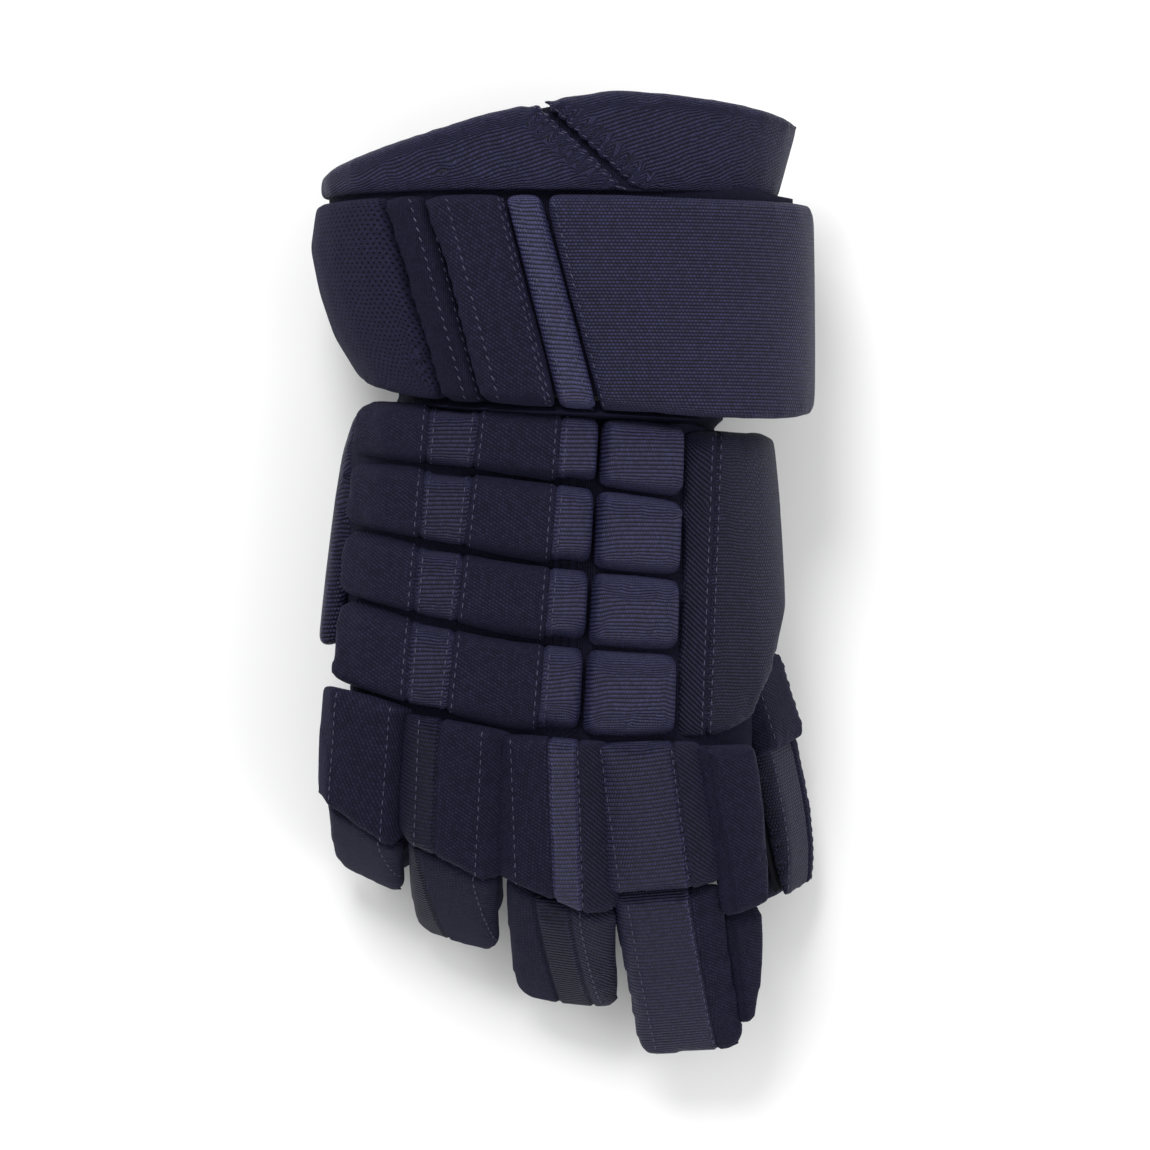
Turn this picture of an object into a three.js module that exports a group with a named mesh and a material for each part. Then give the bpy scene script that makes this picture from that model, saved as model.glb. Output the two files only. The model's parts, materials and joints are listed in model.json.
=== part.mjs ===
// A right-hand ice hockey glove lying palm down: a padded cuff, four back rolls, four jointed fingers
// and a jointed thumb, each stall a hollow sleeve with a foam pad and a stiffening plate over it.
// Millimetres. +X is the thumb side, +Y the cuff end and +Z up from the surface it rests on.
import * as THREE from "three";

const { degToRad, lerp, smoothstep } = THREE.MathUtils;

// ---- Driving sizes -------------------------------------------------------------------------

const GAP = 0.6; // between any two sewn layers of the hand and fingers
const CUFF_GAP = 1.2; // between the layers of the cuff
const SEAM_GAP = 1.2; // between neighbouring pads, where the shell is stitched down
const ROLL_PAD = 13; // foam thickness of the back rolls
const FINGER_PAD = 12; // foam thickness over the fingers
const CUFF_PAD = 12; // foam thickness of the cuff panels
const PLATE = 1.5; // stiffening plates of polyethylene
const BASE_LAYER = 2.4; // knit that the rolls are sewn to
const LINER = 4; // brushed lining with its own thin foam
const PALM_LEATHER = 2.2;
const PATCH_SETBACK = 35.1; // from the knuckle line back to the palm patch
const STALL_WALL = 1.8; // synthetic leather of the finger stalls
const BEVEL = 3; // cut edge of a foam block
const ULNAR_SETBACK = 30.1; // from the knuckle line back to the guard on the little-finger edge

// The hand, from the wrist seam (y = 0 on its middle line) to the knuckles.
const ROLL_LENGTHS = [24.2, 29, 27.4, 32.5];
const EDGE_SLANT = [-0.07, -0.116, -0.132, -0.132, -0.108]; // fall of each roll edge toward the thumb
const EDGE_BOW = [-0.5, -0.5, 2, 3.5, 5.2]; // rise of each roll edge at its two ends
const MIDDLE_X = -11; // middle line of the back
const BOW_REACH = 58.5;
const CENTRE_Z = 52;
const HAND_LEFT = { wrist: 77, knuckle: 92 };
const HAND_RIGHT = { wrist: 76.6, knuckle: 84.5 };
const HAND_UP = { wrist: 48, knuckle: 44 };
const HAND_DOWN = { wrist: 27, knuckle: 8 };
const SECTION_POWER = 2.4; // 2 is an ellipse; more is squarer
const ROLL_LEFT = { wrist: 75.5, knuckle: 86 };
const SIDE_SEAM = { wrist: 15.4, knuckle: 7.2 }; // seam between each roll and its side block
const SIDE_RIGHT = { wrist: 48, knuckle: 44 };
const LINER_RIGHT = { wrist: 58, crotch: 40 }; // the lining narrows where the thumb leaves it
const CROTCH_SETBACK = 45.1; // from the knuckle line back to the crotch of the thumb

// The cuff.
const CUFF_LENGTH = 75; // wrist seam to the top of the outer panels
const COLLAR_LENGTH = 37; // how far the collar stands past the panels on the middle line
const CUFF_UP = 56;
const CUFF_DOWN = 50;
const CUFF_RIGHT = 89.6;
const CUFF_LEFT = [[0, 70], [11, 71], [24, 80], [40, 86], [60, 90], [75, 87.5]];
const COLLAR_STEP = 5.5; // how far the collar lies inside the outer panels
const COLLAR_THICK = 8;
const CUFF_PALM_PAD = 8;
const PALM_FLAT = 1.4; // how much the resting face is flattened
const CUFF_FLEX = 8; // wrist clearance on the palm side, degrees
const CUFF_EXTEND = 8; // and on the back
const HINGE_Z = 96;

// Fingers: x is the middle of the pad at the knuckle line. Each length runs from joint to joint along
// the palm side; roll, pitch and yaw turn it, and slant turns the axis of the middle joint.
const STALL_HEIGHT = 23;
const FINGERS = {
  pinky: {
    x: -70, roll: -16, pitch: 22, yaw: -5, length: 23, pad: 30.5, top: 25, endPad: 29.5, stall: 22,
    tip: { pitch: 38, slant: -26, length: 43, pad: 28, top: 23, endPad: 25, round: 6 },
  },
  ring: {
    x: -39, roll: -11, pitch: 22, yaw: -3, length: 30, pad: 32, top: 27, endPad: 33, stall: 22,
    tip: { pitch: 33, slant: -22, length: 53, pad: 31, top: 26, endPad: 30, round: 6 },
  },
  middle: {
    x: -6.5, roll: -9, pitch: 20, yaw: 2, length: 41, pad: 31, top: 25, endPad: 34, stall: 23,
    tip: { pitch: 27, slant: -24, length: 58, pad: 31.5, top: 26, endPad: 30, round: 6 },
  },
  index: {
    x: 25.3, roll: -8, pitch: 18, yaw: 8, length: 42, pad: 30, top: 24.5, endPad: 35, stall: 24,
    tip: { pitch: 13, slant: -2, length: 72, pad: 31, top: 24, endPad: 29, round: 5 },
  },
};
const FOOT_INSET = 5; // how much narrower a finger pad is where it meets its plate
const TIP_STEP = 3.5; // how far a tip pad lies below the pad behind it
const KNUCKLE_GAP = 1.4;
const LAYER_SETBACK = 3; // how far the layers under the rolls stop short of the knuckle line
const SIDE_GUARD = 9; // foam on the thumb side of the index finger
const GUARD_PAST = 14; // how far the first guard reaches past the middle joint

const THUMB = {
  x: 70, setback: 37.1, z: 42, // where the middle of the outer face starts, behind the knuckle line
  roll: 60, pitch: 4, yaw: 17, slant: 0, length: 40, pad: 32, top: 24, endPad: 33, stall: 25,
  tip: { pitch: 5, slant: 0, length: 55, pad: 31, top: 23, endPad: 27, round: 6 },
};

// ---- Shared geometry -----------------------------------------------------------------------

const wristToKnuckle = ROLL_LENGTHS.reduce((sum, length) => sum + length, 0);
const crotchY = CROTCH_SETBACK - wristToKnuckle;
const down = (y) => THREE.MathUtils.clamp(-y / wristToKnuckle, -0.2, 1.1);
const taper = (size, y) => lerp(size.wrist, size.knuckle, down(y));

function stations(points, y) {
  const next = points.findIndex(([at]) => at >= y);
  if (next === 0) return points[0][1];
  if (next < 0) return points.at(-1)[1];
  const [[y0, a], [y1, b]] = [points[next - 1], points[next]];
  return lerp(a, b, (y - y0) / (y1 - y0));
}

// Lengthwise place of roll edge k (0 is the wrist seam, 4 the knuckle line) at x.
function rollEdge(k, x) {
  const from = ROLL_LENGTHS.slice(0, k).reduce((sum, length) => sum + length, 0);
  const across = x - MIDDLE_X;
  return -from + EDGE_SLANT[k] * across + EDGE_BOW[k] * (across / BOW_REACH) ** 2;
}

const power = (value) => Math.sign(value) * Math.abs(value) ** (2 / SECTION_POWER);

// A point on a squarish oval around the Y axis; size holds left, right, up and down half sizes.
function oval(size, angle, y, middle = 0) {
  const c = Math.cos(angle);
  const s = Math.sin(angle);
  return new THREE.Vector3(
    middle + (c > 0 ? size.right : size.left) * power(c),
    y,
    CENTRE_Z + (s > 0 ? size.up : size.down) * power(s),
  );
}

function angleAtX(size, x) {
  const share = THREE.MathUtils.clamp(x / (x > 0 ? size.right : size.left), -1, 1);
  return Math.acos(Math.sign(share) * Math.abs(share) ** (SECTION_POWER / 2));
}

// The outer face of the back of the hand at y, taken inwards by depth.
const handSize = (y, depth) => ({
  left: taper(HAND_LEFT, y) - depth,
  right: taper(HAND_RIGHT, y) - depth,
  up: taper(HAND_UP, y) - depth,
  down: taper(HAND_DOWN, y) - depth,
});

const cuffSize = (y, depth) => ({
  left: stations(CUFF_LEFT, y) - depth,
  right: CUFF_RIGHT - depth,
  up: CUFF_UP - depth,
  down: CUFF_DOWN - depth,
});

// A block of nx by ny by nz cells; place(u, v, w) puts each corner, with u, v and w from 0 to 1.
function moulded(nx, ny, nz, place) {
  const block = new THREE.BoxGeometry(1, 1, 1, nx, ny, nz);
  const corners = block.getAttribute("position");
  for (let i = 0; i < corners.count; i++) {
    const at = place(corners.getX(i) + 0.5, corners.getY(i) + 0.5, corners.getZ(i) + 0.5);
    corners.setXYZ(i, at.x, at.y, at.z);
  }
  return block;
}

// A sleeve turned from a closed profile; place(angle, inner, s) puts each corner of its two walls.
function sleeve(sides, steps, place, axisPoint = null) {
  const walk = Array.from({ length: steps + 1 }, (_, i) => i / steps);
  const outer = walk.map((s) => new THREE.Vector2(2, s));
  const inner = walk.map((s) => new THREE.Vector2(1, s)).reverse();
  const tail = axisPoint ? [new THREE.Vector2(0, 0)] : [outer[0].clone()];
  const head = axisPoint ? [new THREE.Vector2(0, 0.25)] : [];
  // With an axis point the far end (s = 0) is closed, by one wall inside another.
  const profile = axisPoint
    ? [...tail, ...outer, ...inner, ...head]
    : [...outer, ...inner, ...tail];
  const lathe = new THREE.LatheGeometry(profile, sides);
  const corners = lathe.getAttribute("position");
  for (let i = 0; i < corners.count; i++) {
    const [x, s, z] = [corners.getX(i), corners.getY(i), corners.getZ(i)];
    const radius = Math.hypot(x, z);
    const at =
      radius < 0.5
        ? axisPoint(s > 0.1)
        : place(Math.atan2(z, x), radius < 1.5, s);
    corners.setXYZ(i, at.x, at.y, at.z);
  }
  return lathe;
}

const LOOKS = {
  knit: [0x1e1d33, 0.9],
  webbing: [0x2a2a4a, 0.7],
  mesh: [0x1b1a2e, 0.95],
  leather: [0x191829, 0.8],
  lining: [0x15151f, 0.95],
  plate: [0xd8d8d4, 0.5],
};

function piece(name, look, geometry) {
  const [color, roughness] = LOOKS[look];
  const mesh = new THREE.Mesh(
    geometry,
    new THREE.MeshStandardMaterial({ color, roughness, metalness: 0, flatShading: true }),
  );
  mesh.name = name;
  return mesh;
}

// ---- The back of the hand ------------------------------------------------------------------

// A block on the hand between x limits and y limits; edge cuts its outer corners back.
function backBlock({ left, right, low, high, outer, inner, cells, leftCut, rightCut, endCut }) {
  return moulded(...cells, (u, v, w) => {
    const lift = w > 0.99 ? 1 : 0;
    const across = (y) => {
      const from = left(y) + lift * leftCut;
      return lerp(from, right(y) - lift * rightCut, u);
    };
    const guess = across(lerp(low(0), high(0), v));
    const y = lerp(low(guess) + lift * endCut, high(guess) - lift * endCut, v);
    const x = across(y);
    const depth = lerp(inner, outer, w);
    return oval(handSize(y, depth), angleAtX(handSize(y, 0), x), y);
  });
}

function backRolls() {
  const made = [];
  const seam = (y) => taper(SIDE_SEAM, y);
  for (let k = 0; k < 4; k++) {
    const low = (x) => rollEdge(k + 1, x) + SEAM_GAP / 2;
    const high = (x) => rollEdge(k, x) - (k ? SEAM_GAP / 2 : KNUCKLE_GAP / 2);
    const shared = { low, high, outer: 0, inner: ROLL_PAD, endCut: BEVEL };
    made.push(
      piece(
        `roll_${k + 1}`,
        "mesh",
        backBlock({
          ...shared,
          left: (y) => -taper(ROLL_LEFT, y),
          right: (y) => seam(y) - SEAM_GAP / 2,
          cells: [8, 2, 2],
          leftCut: 1.5,
          rightCut: 1.5,
        }),
      ),
      piece(
        `roll_${k + 1}_side`,
        "webbing",
        backBlock({
          ...shared,
          left: (y) => seam(y) + SEAM_GAP / 2,
          right: (y) => taper(SIDE_RIGHT, y) - SEAM_GAP,
          cells: [3, 2, 2],
          leftCut: 1.5,
          rightCut: BEVEL,
        }),
      ),
      piece(
        `roll_${k + 1}_plate`,
        "plate",
        backBlock({
          low: (x) => low(x) + BEVEL,
          high: (x) => high(x) - BEVEL,
          outer: ROLL_PAD + GAP,
          inner: ROLL_PAD + GAP + PLATE,
          left: (y) => -taper(ROLL_LEFT, y) + 12,
          right: (y) => taper(SIDE_RIGHT, y) - SEAM_GAP - BEVEL,
          cells: [8, 1, 1],
          leftCut: 0,
          rightCut: 0,
          endCut: 0,
        }),
      ),
    );
  }
  return made;
}

const LAYER_DEPTH = ROLL_PAD + PLATE + 2 * GAP;
const LINER_DEPTH = LAYER_DEPTH + BASE_LAYER + GAP;

function baseLayer() {
  return moulded(18, 4, 1, (u, v, w) => {
    const y = lerp(-wristToKnuckle, 0, v);
    const angle = lerp(degToRad(176), degToRad(8), u);
    const x = oval(handSize(y, LAYER_DEPTH), angle, y).x;
    const at = lerp(rollEdge(4, x) + LAYER_SETBACK, rollEdge(0, x) - KNUCKLE_GAP, v);
    return oval(handSize(at, lerp(LAYER_DEPTH + BASE_LAYER, LAYER_DEPTH, w)), angle, at);
  });
}

// The lining's section: it follows the pads above, the palm below, and narrows toward the thumb.
function linerSize(y, depth) {
  const size = handSize(y, LINER_DEPTH + depth);
  const toCrotch = THREE.MathUtils.clamp((y - crotchY) / -crotchY, 0, 1);
  size.right = lerp(LINER_RIGHT.crotch, LINER_RIGHT.wrist, toCrotch) - depth;
  size.down = taper(HAND_DOWN, y) - PALM_LEATHER - GAP - depth;
  return size;
}

function handLiner() {
  return sleeve(36, 4, (angle, inside, s) => {
    const nominal = lerp(-wristToKnuckle, 0, s);
    const depth = inside ? LINER : 0;
    const x = oval(linerSize(nominal, depth), angle, nominal).x;
    const y = lerp(rollEdge(4, x) + LAYER_SETBACK, rollEdge(0, x) - KNUCKLE_GAP, s);
    return oval(linerSize(y, depth), angle, y);
  });
}

function palmSheet(fromDeg, toDeg, yLow, yHigh, inset, thickness, cells) {
  return moulded(...cells, (u, v, w) => {
    const angle = lerp(degToRad(fromDeg), degToRad(toDeg), u);
    const nominal = lerp(-wristToKnuckle, 0, v);
    const x = oval(linerSize(nominal, 0), angle, nominal).x;
    const y = lerp(yLow(x), yHigh(x), v);
    return oval(linerSize(y, -(inset + lerp(0, thickness, w))), angle, y);
  });
}

function palmPanel() {
  const low = (x) => rollEdge(4, x) + LAYER_SETBACK;
  const high = (x) => rollEdge(0, x) - KNUCKLE_GAP;
  return palmSheet(350, 190, low, high, GAP, PALM_LEATHER, [12, 4, 1]);
}

function palmPatch() {
  const inset = GAP + PALM_LEATHER + GAP;
  return palmSheet(318, 228, () => PATCH_SETBACK - wristToKnuckle, () => -16, inset, 1.6, [8, 4, 1]);
}

// The narrow guard along the little-finger edge.
function ulnarPanel() {
  const [upper, lower] = [0, ULNAR_SETBACK - wristToKnuckle];
  return moulded(3, 6, 1, (u, v, w) => {
    const y = lerp(lower, upper, v);
    const nearCuff = smoothstep(y, upper - 14, upper);
    const from = lerp(degToRad(170), degToRad(174), nearCuff);
    const angle = lerp(degToRad(207), from, u);
    return oval(handSize(y, lerp(ROLL_PAD - 5, 0.6, w) + 2.5 * nearCuff), angle, y);
  });
}

// The broad guard over the root of the thumb; its ridge stands beside the side blocks.
function radialPanel() {
  const ridge = 7;
  const thickness = ROLL_PAD - 2;
  const outer = 2;
  return moulded(6, 5, 2, (u, v, w) => {
    const lift = w > 0.99 ? 1 : 0;
    const lowest = rollEdge(4, taper(SIDE_RIGHT, -wristToKnuckle)) - 1;
    const climb = smoothstep(u, 0.25, 0.95) * 39 + 5 * smoothstep(u, 0.1, 0.5);
    const low = lowest + climb + lift * BEVEL;
    const y = lerp(low, rollEdge(0, 60) - 1 - lift * BEVEL, v);
    const left = taper(SIDE_RIGHT, y) + lift * ridge;
    const from = angleAtX(handSize(y, 0), left);
    const angle = lerp(from, degToRad(-4), u);
    return oval(handSize(y, outer + lerp(thickness, 0, w)), angle, y);
  });
}

// ---- The cuff ------------------------------------------------------------------------------

// Nearest place to the hand that the cuff may reach at a height, so that the wrist can bend.
function cuffStart(x, z) {
  const lean = z > HINGE_Z ? CUFF_EXTEND + 0.5 : CUFF_FLEX + 1;
  return rollEdge(0, x) + KNUCKLE_GAP / 2 + Math.abs(z - HINGE_Z) * Math.tan(degToRad(lean));
}

// A cuff panel between two leaning lines, or round to a fixed angle where a line is a number.
function cuffPanel({ left, right, outer, inner, top, cells, cut, low = cuffStart }) {
  const edge = (line, y, shift) =>
    typeof line === "number" ? degToRad(line) : angleAtX(cuffSize(y, 0), line(y) + shift);
  return moulded(...cells, (u, v, w) => {
    const lift = (w > 0.99 ? 1 : 0) * cut;
    const place = (y) => {
      const angle = lerp(edge(left, y, SEAM_GAP / 2 + lift / 2), edge(right, y, -SEAM_GAP / 2 - lift / 2), u);
      return oval(cuffSize(y, lerp(inner, outer, w)), angle, y);
    };
    const first = place(lerp(20, top, v));
    const at = place(lerp(low(first.x, first.z) + lift, top - lift, v));
    at.y = lerp(low(at.x, at.z) + lift, top - lift, v);
    return at;
  });
}

const leaning = (atWrist, atTop) => (y) => lerp(atWrist, atTop, y / CUFF_LENGTH);
const CUFF_SEAMS = [leaning(-43, -65.5), leaning(-29, -50.5), leaning(-1, -21.5), leaning(14, -7.5)];

function cuffPanels() {
  const shared = { outer: 0, inner: CUFF_PAD, top: CUFF_LENGTH, cut: BEVEL * 0.7 };
  const [mesh, strip, centre, webbing] = CUFF_SEAMS;
  const flush = { ...shared, cut: 1 };
  return [
    piece("cuff_outer_pad", "mesh", cuffPanel({ ...flush, left: 198, right: mesh, cells: [6, 4, 2] })),
    piece("cuff_stretch_strip", "mesh", cuffPanel({ ...flush, left: mesh, right: strip, cells: [2, 4, 2], outer: 0.8 })),
    piece("cuff_centre_pad", "knit", cuffPanel({ ...flush, left: strip, right: centre, cells: [3, 4, 2] })),
    piece("cuff_webbing_strip", "webbing", cuffPanel({ ...flush, left: centre, right: webbing, cells: [2, 4, 2], outer: 0.8 })),
    piece("cuff_thumb_pad", "webbing", cuffPanel({ ...shared, left: webbing, right: -18, cells: [8, 4, 2] })),
    piece(
      "cuff_board",
      "plate",
      cuffPanel({
        left: 186, right: -6, outer: CUFF_PAD + CUFF_GAP, inner: CUFF_PAD + CUFF_GAP + PLATE,
        top: CUFF_LENGTH - 4, cells: [24, 7, 1], cut: 0,
        low: (x, z) => cuffStart(x, z) + 4,
      }),
    ),
  ];
}

const CUFF_LINER_DEPTH = CUFF_PAD + PLATE + 2 * CUFF_GAP;

function cuffLinerSize(y, depth) {
  const size = cuffSize(y, CUFF_LINER_DEPTH + depth);
  size.right = Math.min(size.right, lerp(58, 62, y / CUFF_LENGTH) - depth);
  size.down = CUFF_DOWN - CUFF_PALM_PAD - CUFF_GAP - depth;
  return size;
}

// How far the collar's rim stands from the wrist seam, over the back of the hand, by x.
function collarRim(x) {
  const across = x - 14;
  const fall = across < 0 ? 27 * (-across / 100) ** 1.35 : 8 * (across / 68) ** 2;
  return CUFF_LENGTH + COLLAR_LENGTH - fall;
}

const rimFor = (x, z) => (z > CENTRE_Z ? collarRim(x) : lerp(collarRim(x), CUFF_LENGTH + 12, (CENTRE_Z - z) / CUFF_DOWN));

function cuffLiner() {
  return sleeve(36, 9, (angle, inside, s) => {
    const depth = inside ? LINER : 0;
    const place = (y) => oval(cuffLinerSize(y, depth), angle, y);
    const first = place(lerp(0, CUFF_LENGTH, s));
    const at = place(lerp(cuffStart(first.x, first.z), rimFor(first.x, first.z) - 3, s));
    at.y = lerp(cuffStart(at.x, at.z), rimFor(at.x, at.z) - 3, s);
    return at;
  });
}

function collarSize(y, depth) {
  const past = y - CUFF_LENGTH;
  return {
    left: stations(CUFF_LEFT, CUFF_LENGTH) - 1 - depth,
    right: 76 + 0.3 * past - depth,
    up: CUFF_UP - COLLAR_STEP - depth + 0.05 * past,
    down: CUFF_DOWN - depth,
  };
}

const collarSeam = (y) => lerp(27, -7, (y - CUFF_LENGTH) / 31);

function collarHalf(left, right) {
  const edge = (line, y) =>
    typeof line === "number" ? degToRad(line) : angleAtX(collarSize(y, 0), line(y));
  return moulded(7, 4, 2, (u, v, w) => {
    const lift = w > 0.99 ? 1.5 : 0;
    const place = (y) =>
      oval(collarSize(y, lerp(COLLAR_THICK, 0, w)), lerp(edge(left, y), edge(right, y), u), y);
    const bottom = CUFF_LENGTH + SEAM_GAP;
    const first = place(lerp(bottom, CUFF_LENGTH + 20, v));
    const second = place(lerp(bottom, collarRim(first.x) - lift, v));
    return place(lerp(bottom, collarRim(second.x) - lift, v));
  });
}

function collar() {
  const shifted = (by) => (y) => collarSeam(y) + by;
  return [
    piece("collar_outer_half", "knit", collarHalf(196, shifted(-SEAM_GAP / 2))),
    piece("collar_thumb_half", "webbing", collarHalf(shifted(SEAM_GAP / 2), -10)),
  ];
}

// The band across the palm side of the cuff. Its underside is flat where the glove rests on it.
function cuffPalmBand() {
  const flat = CENTRE_Z - CUFF_DOWN + PALM_FLAT;
  return moulded(20, 4, 1, (u, v, w) => {
    const angle = lerp(degToRad(339), degToRad(201), u);
    const y = lerp(CUFF_LENGTH * 0.32, CUFF_LENGTH + 10, v);
    const size = cuffSize(y, lerp(CUFF_PALM_PAD, 0, w));
    size.right = Math.min(size.right, cuffLinerSize(y, 0).right + CUFF_GAP + lerp(0, CUFF_PALM_PAD, w));
    size.left = Math.min(size.left, cuffLinerSize(y, 0).left + CUFF_GAP + lerp(0, CUFF_PALM_PAD, w));
    const at = oval(size, angle, y);
    at.z = Math.max(at.z, flat + (1 - w) * (CUFF_PALM_PAD - PALM_FLAT));
    return at;
  });
}

// ---- Fingers -------------------------------------------------------------------------------

const PAD_BOTTOM = STALL_HEIGHT + PLATE + 2 * GAP;
const PAD_TOP = PAD_BOTTOM + FINGER_PAD;
const UP = new THREE.Vector3(0, 0, 1);

const turn = ({ roll, pitch, yaw }) =>
  new THREE.Matrix4()
    .makeRotationZ(degToRad(yaw))
    .multiply(new THREE.Matrix4().makeRotationX(degToRad(pitch)))
    .multiply(new THREE.Matrix4().makeRotationY(degToRad(roll)));

// The plane a length is cut to, as the y it reaches at each x and z.
const cutPlane = (normal, offset) => (x, z) => (offset - normal.x * x - normal.z * z) / normal.y;

// The cut through a joint whose axis is slanted, leaning by half of its bend.
const jointPlane = (slant, lean, offset) =>
  cutPlane(new THREE.Vector3(0, Math.cos(lean), Math.sin(lean)).applyAxisAngle(UP, slant), offset);

// A length that bends about a slanted axis leans sideways where it is cut, and stands upright at its end.
const leaningX = (x, z, along, twist) => x + z * twist * (1 - THREE.MathUtils.clamp(along, 0, 1));

// A finger pad between its two cuts, widest at its middle height, with its upper edges cut back.
function fingerPad({ length, pad, top, endPad, round = 0, bottom, height, start, end, twist }) {
  const shoulder = 0.5;
  return moulded(4, 4, 2, (u, v, w) => {
    const level = w < 0.25 ? 0 : w < 0.75 ? shoulder : 1;
    const nearEnd = 1 - v;
    const cut = level === 1 ? 1.2 : 0;
    const narrower = level === 1 ? pad - top : level === 0 ? FOOT_INSET : 0;
    const width = lerp(pad, endPad, nearEnd) - narrower;
    const z = lerp(bottom, height, level);
    const x = leaningX((u - 0.5) * width, z, nearEnd, twist);
    const y = lerp(end(x, z) + cut, start(x, z) - cut, v);
    const toTip = THREE.MathUtils.clamp(-y / length, 0, 1);
    return new THREE.Vector3(x, y, z - round * toTip ** 3 * level);
  });
}

function stall({ stall: width, start, end, closed, twist }) {
  const round = (value) => Math.sign(value) * Math.abs(value) ** 0.62;
  const place = (angle, inside, s) => {
    const inset = inside ? STALL_WALL : 0;
    const shrink = closed && s < 0.2 ? 0.82 : 1;
    const half = (width / 2 - inset) * round(Math.cos(angle)) * shrink;
    const high = STALL_HEIGHT / 2 + (STALL_HEIGHT / 2 - inset) * round(Math.sin(angle));
    const z = high * shrink + (1 - shrink) * STALL_HEIGHT * 0.35;
    const x = leaningX(half, z, 1 - s, twist);
    const wall = closed && inside && s < 0.01 ? STALL_WALL : 0;
    return new THREE.Vector3(x, lerp(end(x, z) + wall, start(x, z), s), z);
  };
  const middle = STALL_HEIGHT * 0.45;
  const axisPoint = (inner) =>
    new THREE.Vector3(0, end(0, middle) + (inner ? STALL_WALL : 0), middle);
  return sleeve(16, 3, place, closed ? axisPoint : null);
}

function plateUnderPad(name, { stall: width, start, end, twist }) {
  return piece(
    name,
    "plate",
    moulded(2, 2, 1, (u, v, w) => {
      const z = STALL_HEIGHT + GAP + w * PLATE;
      const x = leaningX((u - 0.5) * (width - 2), z, 1 - v, twist);
      return new THREE.Vector3(x, lerp(end(x, z) + 3, start(x, z) - 3, v), z);
    }),
  );
}

// A hinge at a point of its parent, with X along its axis; what it carries is turned back inside it.
function hinge(name, slant, at) {
  const group = new THREE.Group();
  group.name = `${name}_hinge`;
  group.rotation.z = slant;
  group.position.copy(at);
  return group;
}

// Two jointed lengths, each a stall with a pad over it. The first hinge lies across the hand.
function digit(name, size, slant, at, look) {
  const rotation = turn(size);
  const handSide = new THREE.Vector3(-Math.sin(slant), Math.cos(slant), 0);
  const bend = degToRad(size.tip.pitch) / 2;
  const across = degToRad(size.tip.slant);
  const endOf = jointPlane(across, bend, KNUCKLE_GAP / 2);
  const base = {
    ...size,
    bottom: PAD_BOTTOM,
    height: PAD_TOP,
    start: cutPlane(handSide.applyMatrix4(rotation.clone().invert()), -KNUCKLE_GAP / 2),
    end: (x, z) => endOf(x, z) - size.length,
    twist: 0,
  };
  const tip = {
    ...size.tip,
    stall: size.stall,
    closed: true,
    bottom: PAD_BOTTOM,
    height: PAD_TOP - TIP_STEP,
    start: jointPlane(across, -bend, -KNUCKLE_GAP / 2),
    end: () => -size.tip.length,
    twist: -2 * Math.tan(bend) * Math.sin(across),
  };
  const baseFrame = new THREE.Group();
  baseFrame.add(piece(`${name}_base_stall`, "leather", stall(base)));
  baseFrame.add(piece(`${name}_base_pad`, look, fingerPad(base)));
  const tipFrame = new THREE.Group();
  tipFrame.add(piece(`${name}_tip_stall`, "leather", stall(tip)));
  tipFrame.add(piece(`${name}_tip_pad`, look, fingerPad(tip)));
  const tipTurn = new THREE.Matrix4()
    .makeRotationX(degToRad(size.tip.pitch))
    .multiply(new THREE.Matrix4().makeRotationZ(-across));
  tipFrame.applyMatrix4(tipTurn);
  const tipHinge = hinge(`${name}_tip`, across, new THREE.Vector3(0, -size.length, 0));
  tipHinge.add(tipFrame);
  baseFrame.add(tipHinge);
  baseFrame.applyMatrix4(new THREE.Matrix4().makeRotationZ(-slant).multiply(rotation));
  const baseHinge = hinge(`${name}_base`, slant, at);
  baseHinge.add(baseFrame);
  return { baseHinge, baseFrame, tipFrame, base, tip };
}

function finger(name, size) {
  const knuckle = rollEdge(4, size.x) - KNUCKLE_GAP / 2;
  const slant = Math.atan((rollEdge(4, size.x + 5) - rollEdge(4, size.x - 5)) / 10);
  const over = oval(handSize(knuckle, 0), angleAtX(handSize(knuckle, 0), size.x), knuckle);
  const roll = degToRad(size.roll);
  const at = new THREE.Vector3(
    over.x - PAD_TOP * Math.sin(roll),
    knuckle,
    over.z - PAD_TOP * Math.cos(roll),
  );
  const made = digit(name, size, slant, at, name === "index" ? "webbing" : "knit");
  made.baseFrame.add(plateUnderPad(`${name}_base_plate`, made.base));
  if (name === "index") {
    const guard = { spread: 24, endSpread: 18, past: GUARD_PAST };
    const tipGuard = { spread: 16, endSpread: 6, past: -10, late: GUARD_PAST + 1 };
    made.baseFrame.add(sideGuard("index_base_guard", { ...made.base, ...guard }));
    made.tipFrame.add(sideGuard("index_tip_guard", { ...made.tip, ...tipGuard }));
  }
  return made.baseHinge;
}

// A leaning guard beside the index finger, from its top edge down over its thumb side.
function sideGuard(name, { pad, endPad, start, end, height, spread, endSpread, past, late = 0 }) {
  const lean = degToRad(38);
  const along = new THREE.Vector2(Math.cos(lean), -Math.sin(lean));
  const out = new THREE.Vector2(Math.sin(lean), Math.cos(lean));
  return piece(
    name,
    "webbing",
    moulded(3, 4, 2, (u, v, w) => {
      const lift = w > 0.99 ? 1 : 0;
      const nearEnd = 1 - v;
      const reach =
        lerp(spread, endSpread, nearEnd ** 2) * lerp(lift * 0.16, 1 - lift * 0.08, u);
      const thick = (w - 0.5) * SIDE_GUARD;
      const inner = lerp(pad, endPad, nearEnd) / 2 + SEAM_GAP + 4;
      const x = inner + reach * along.x + thick * out.x;
      const z = height - 7 + reach * along.y + thick * out.y;
      const from = end(x, z) - past + lift * 2;
      return new THREE.Vector3(x, lerp(from, start(x, z) - 1 - late - lift * 2, v), z);
    }),
  );
}

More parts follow.
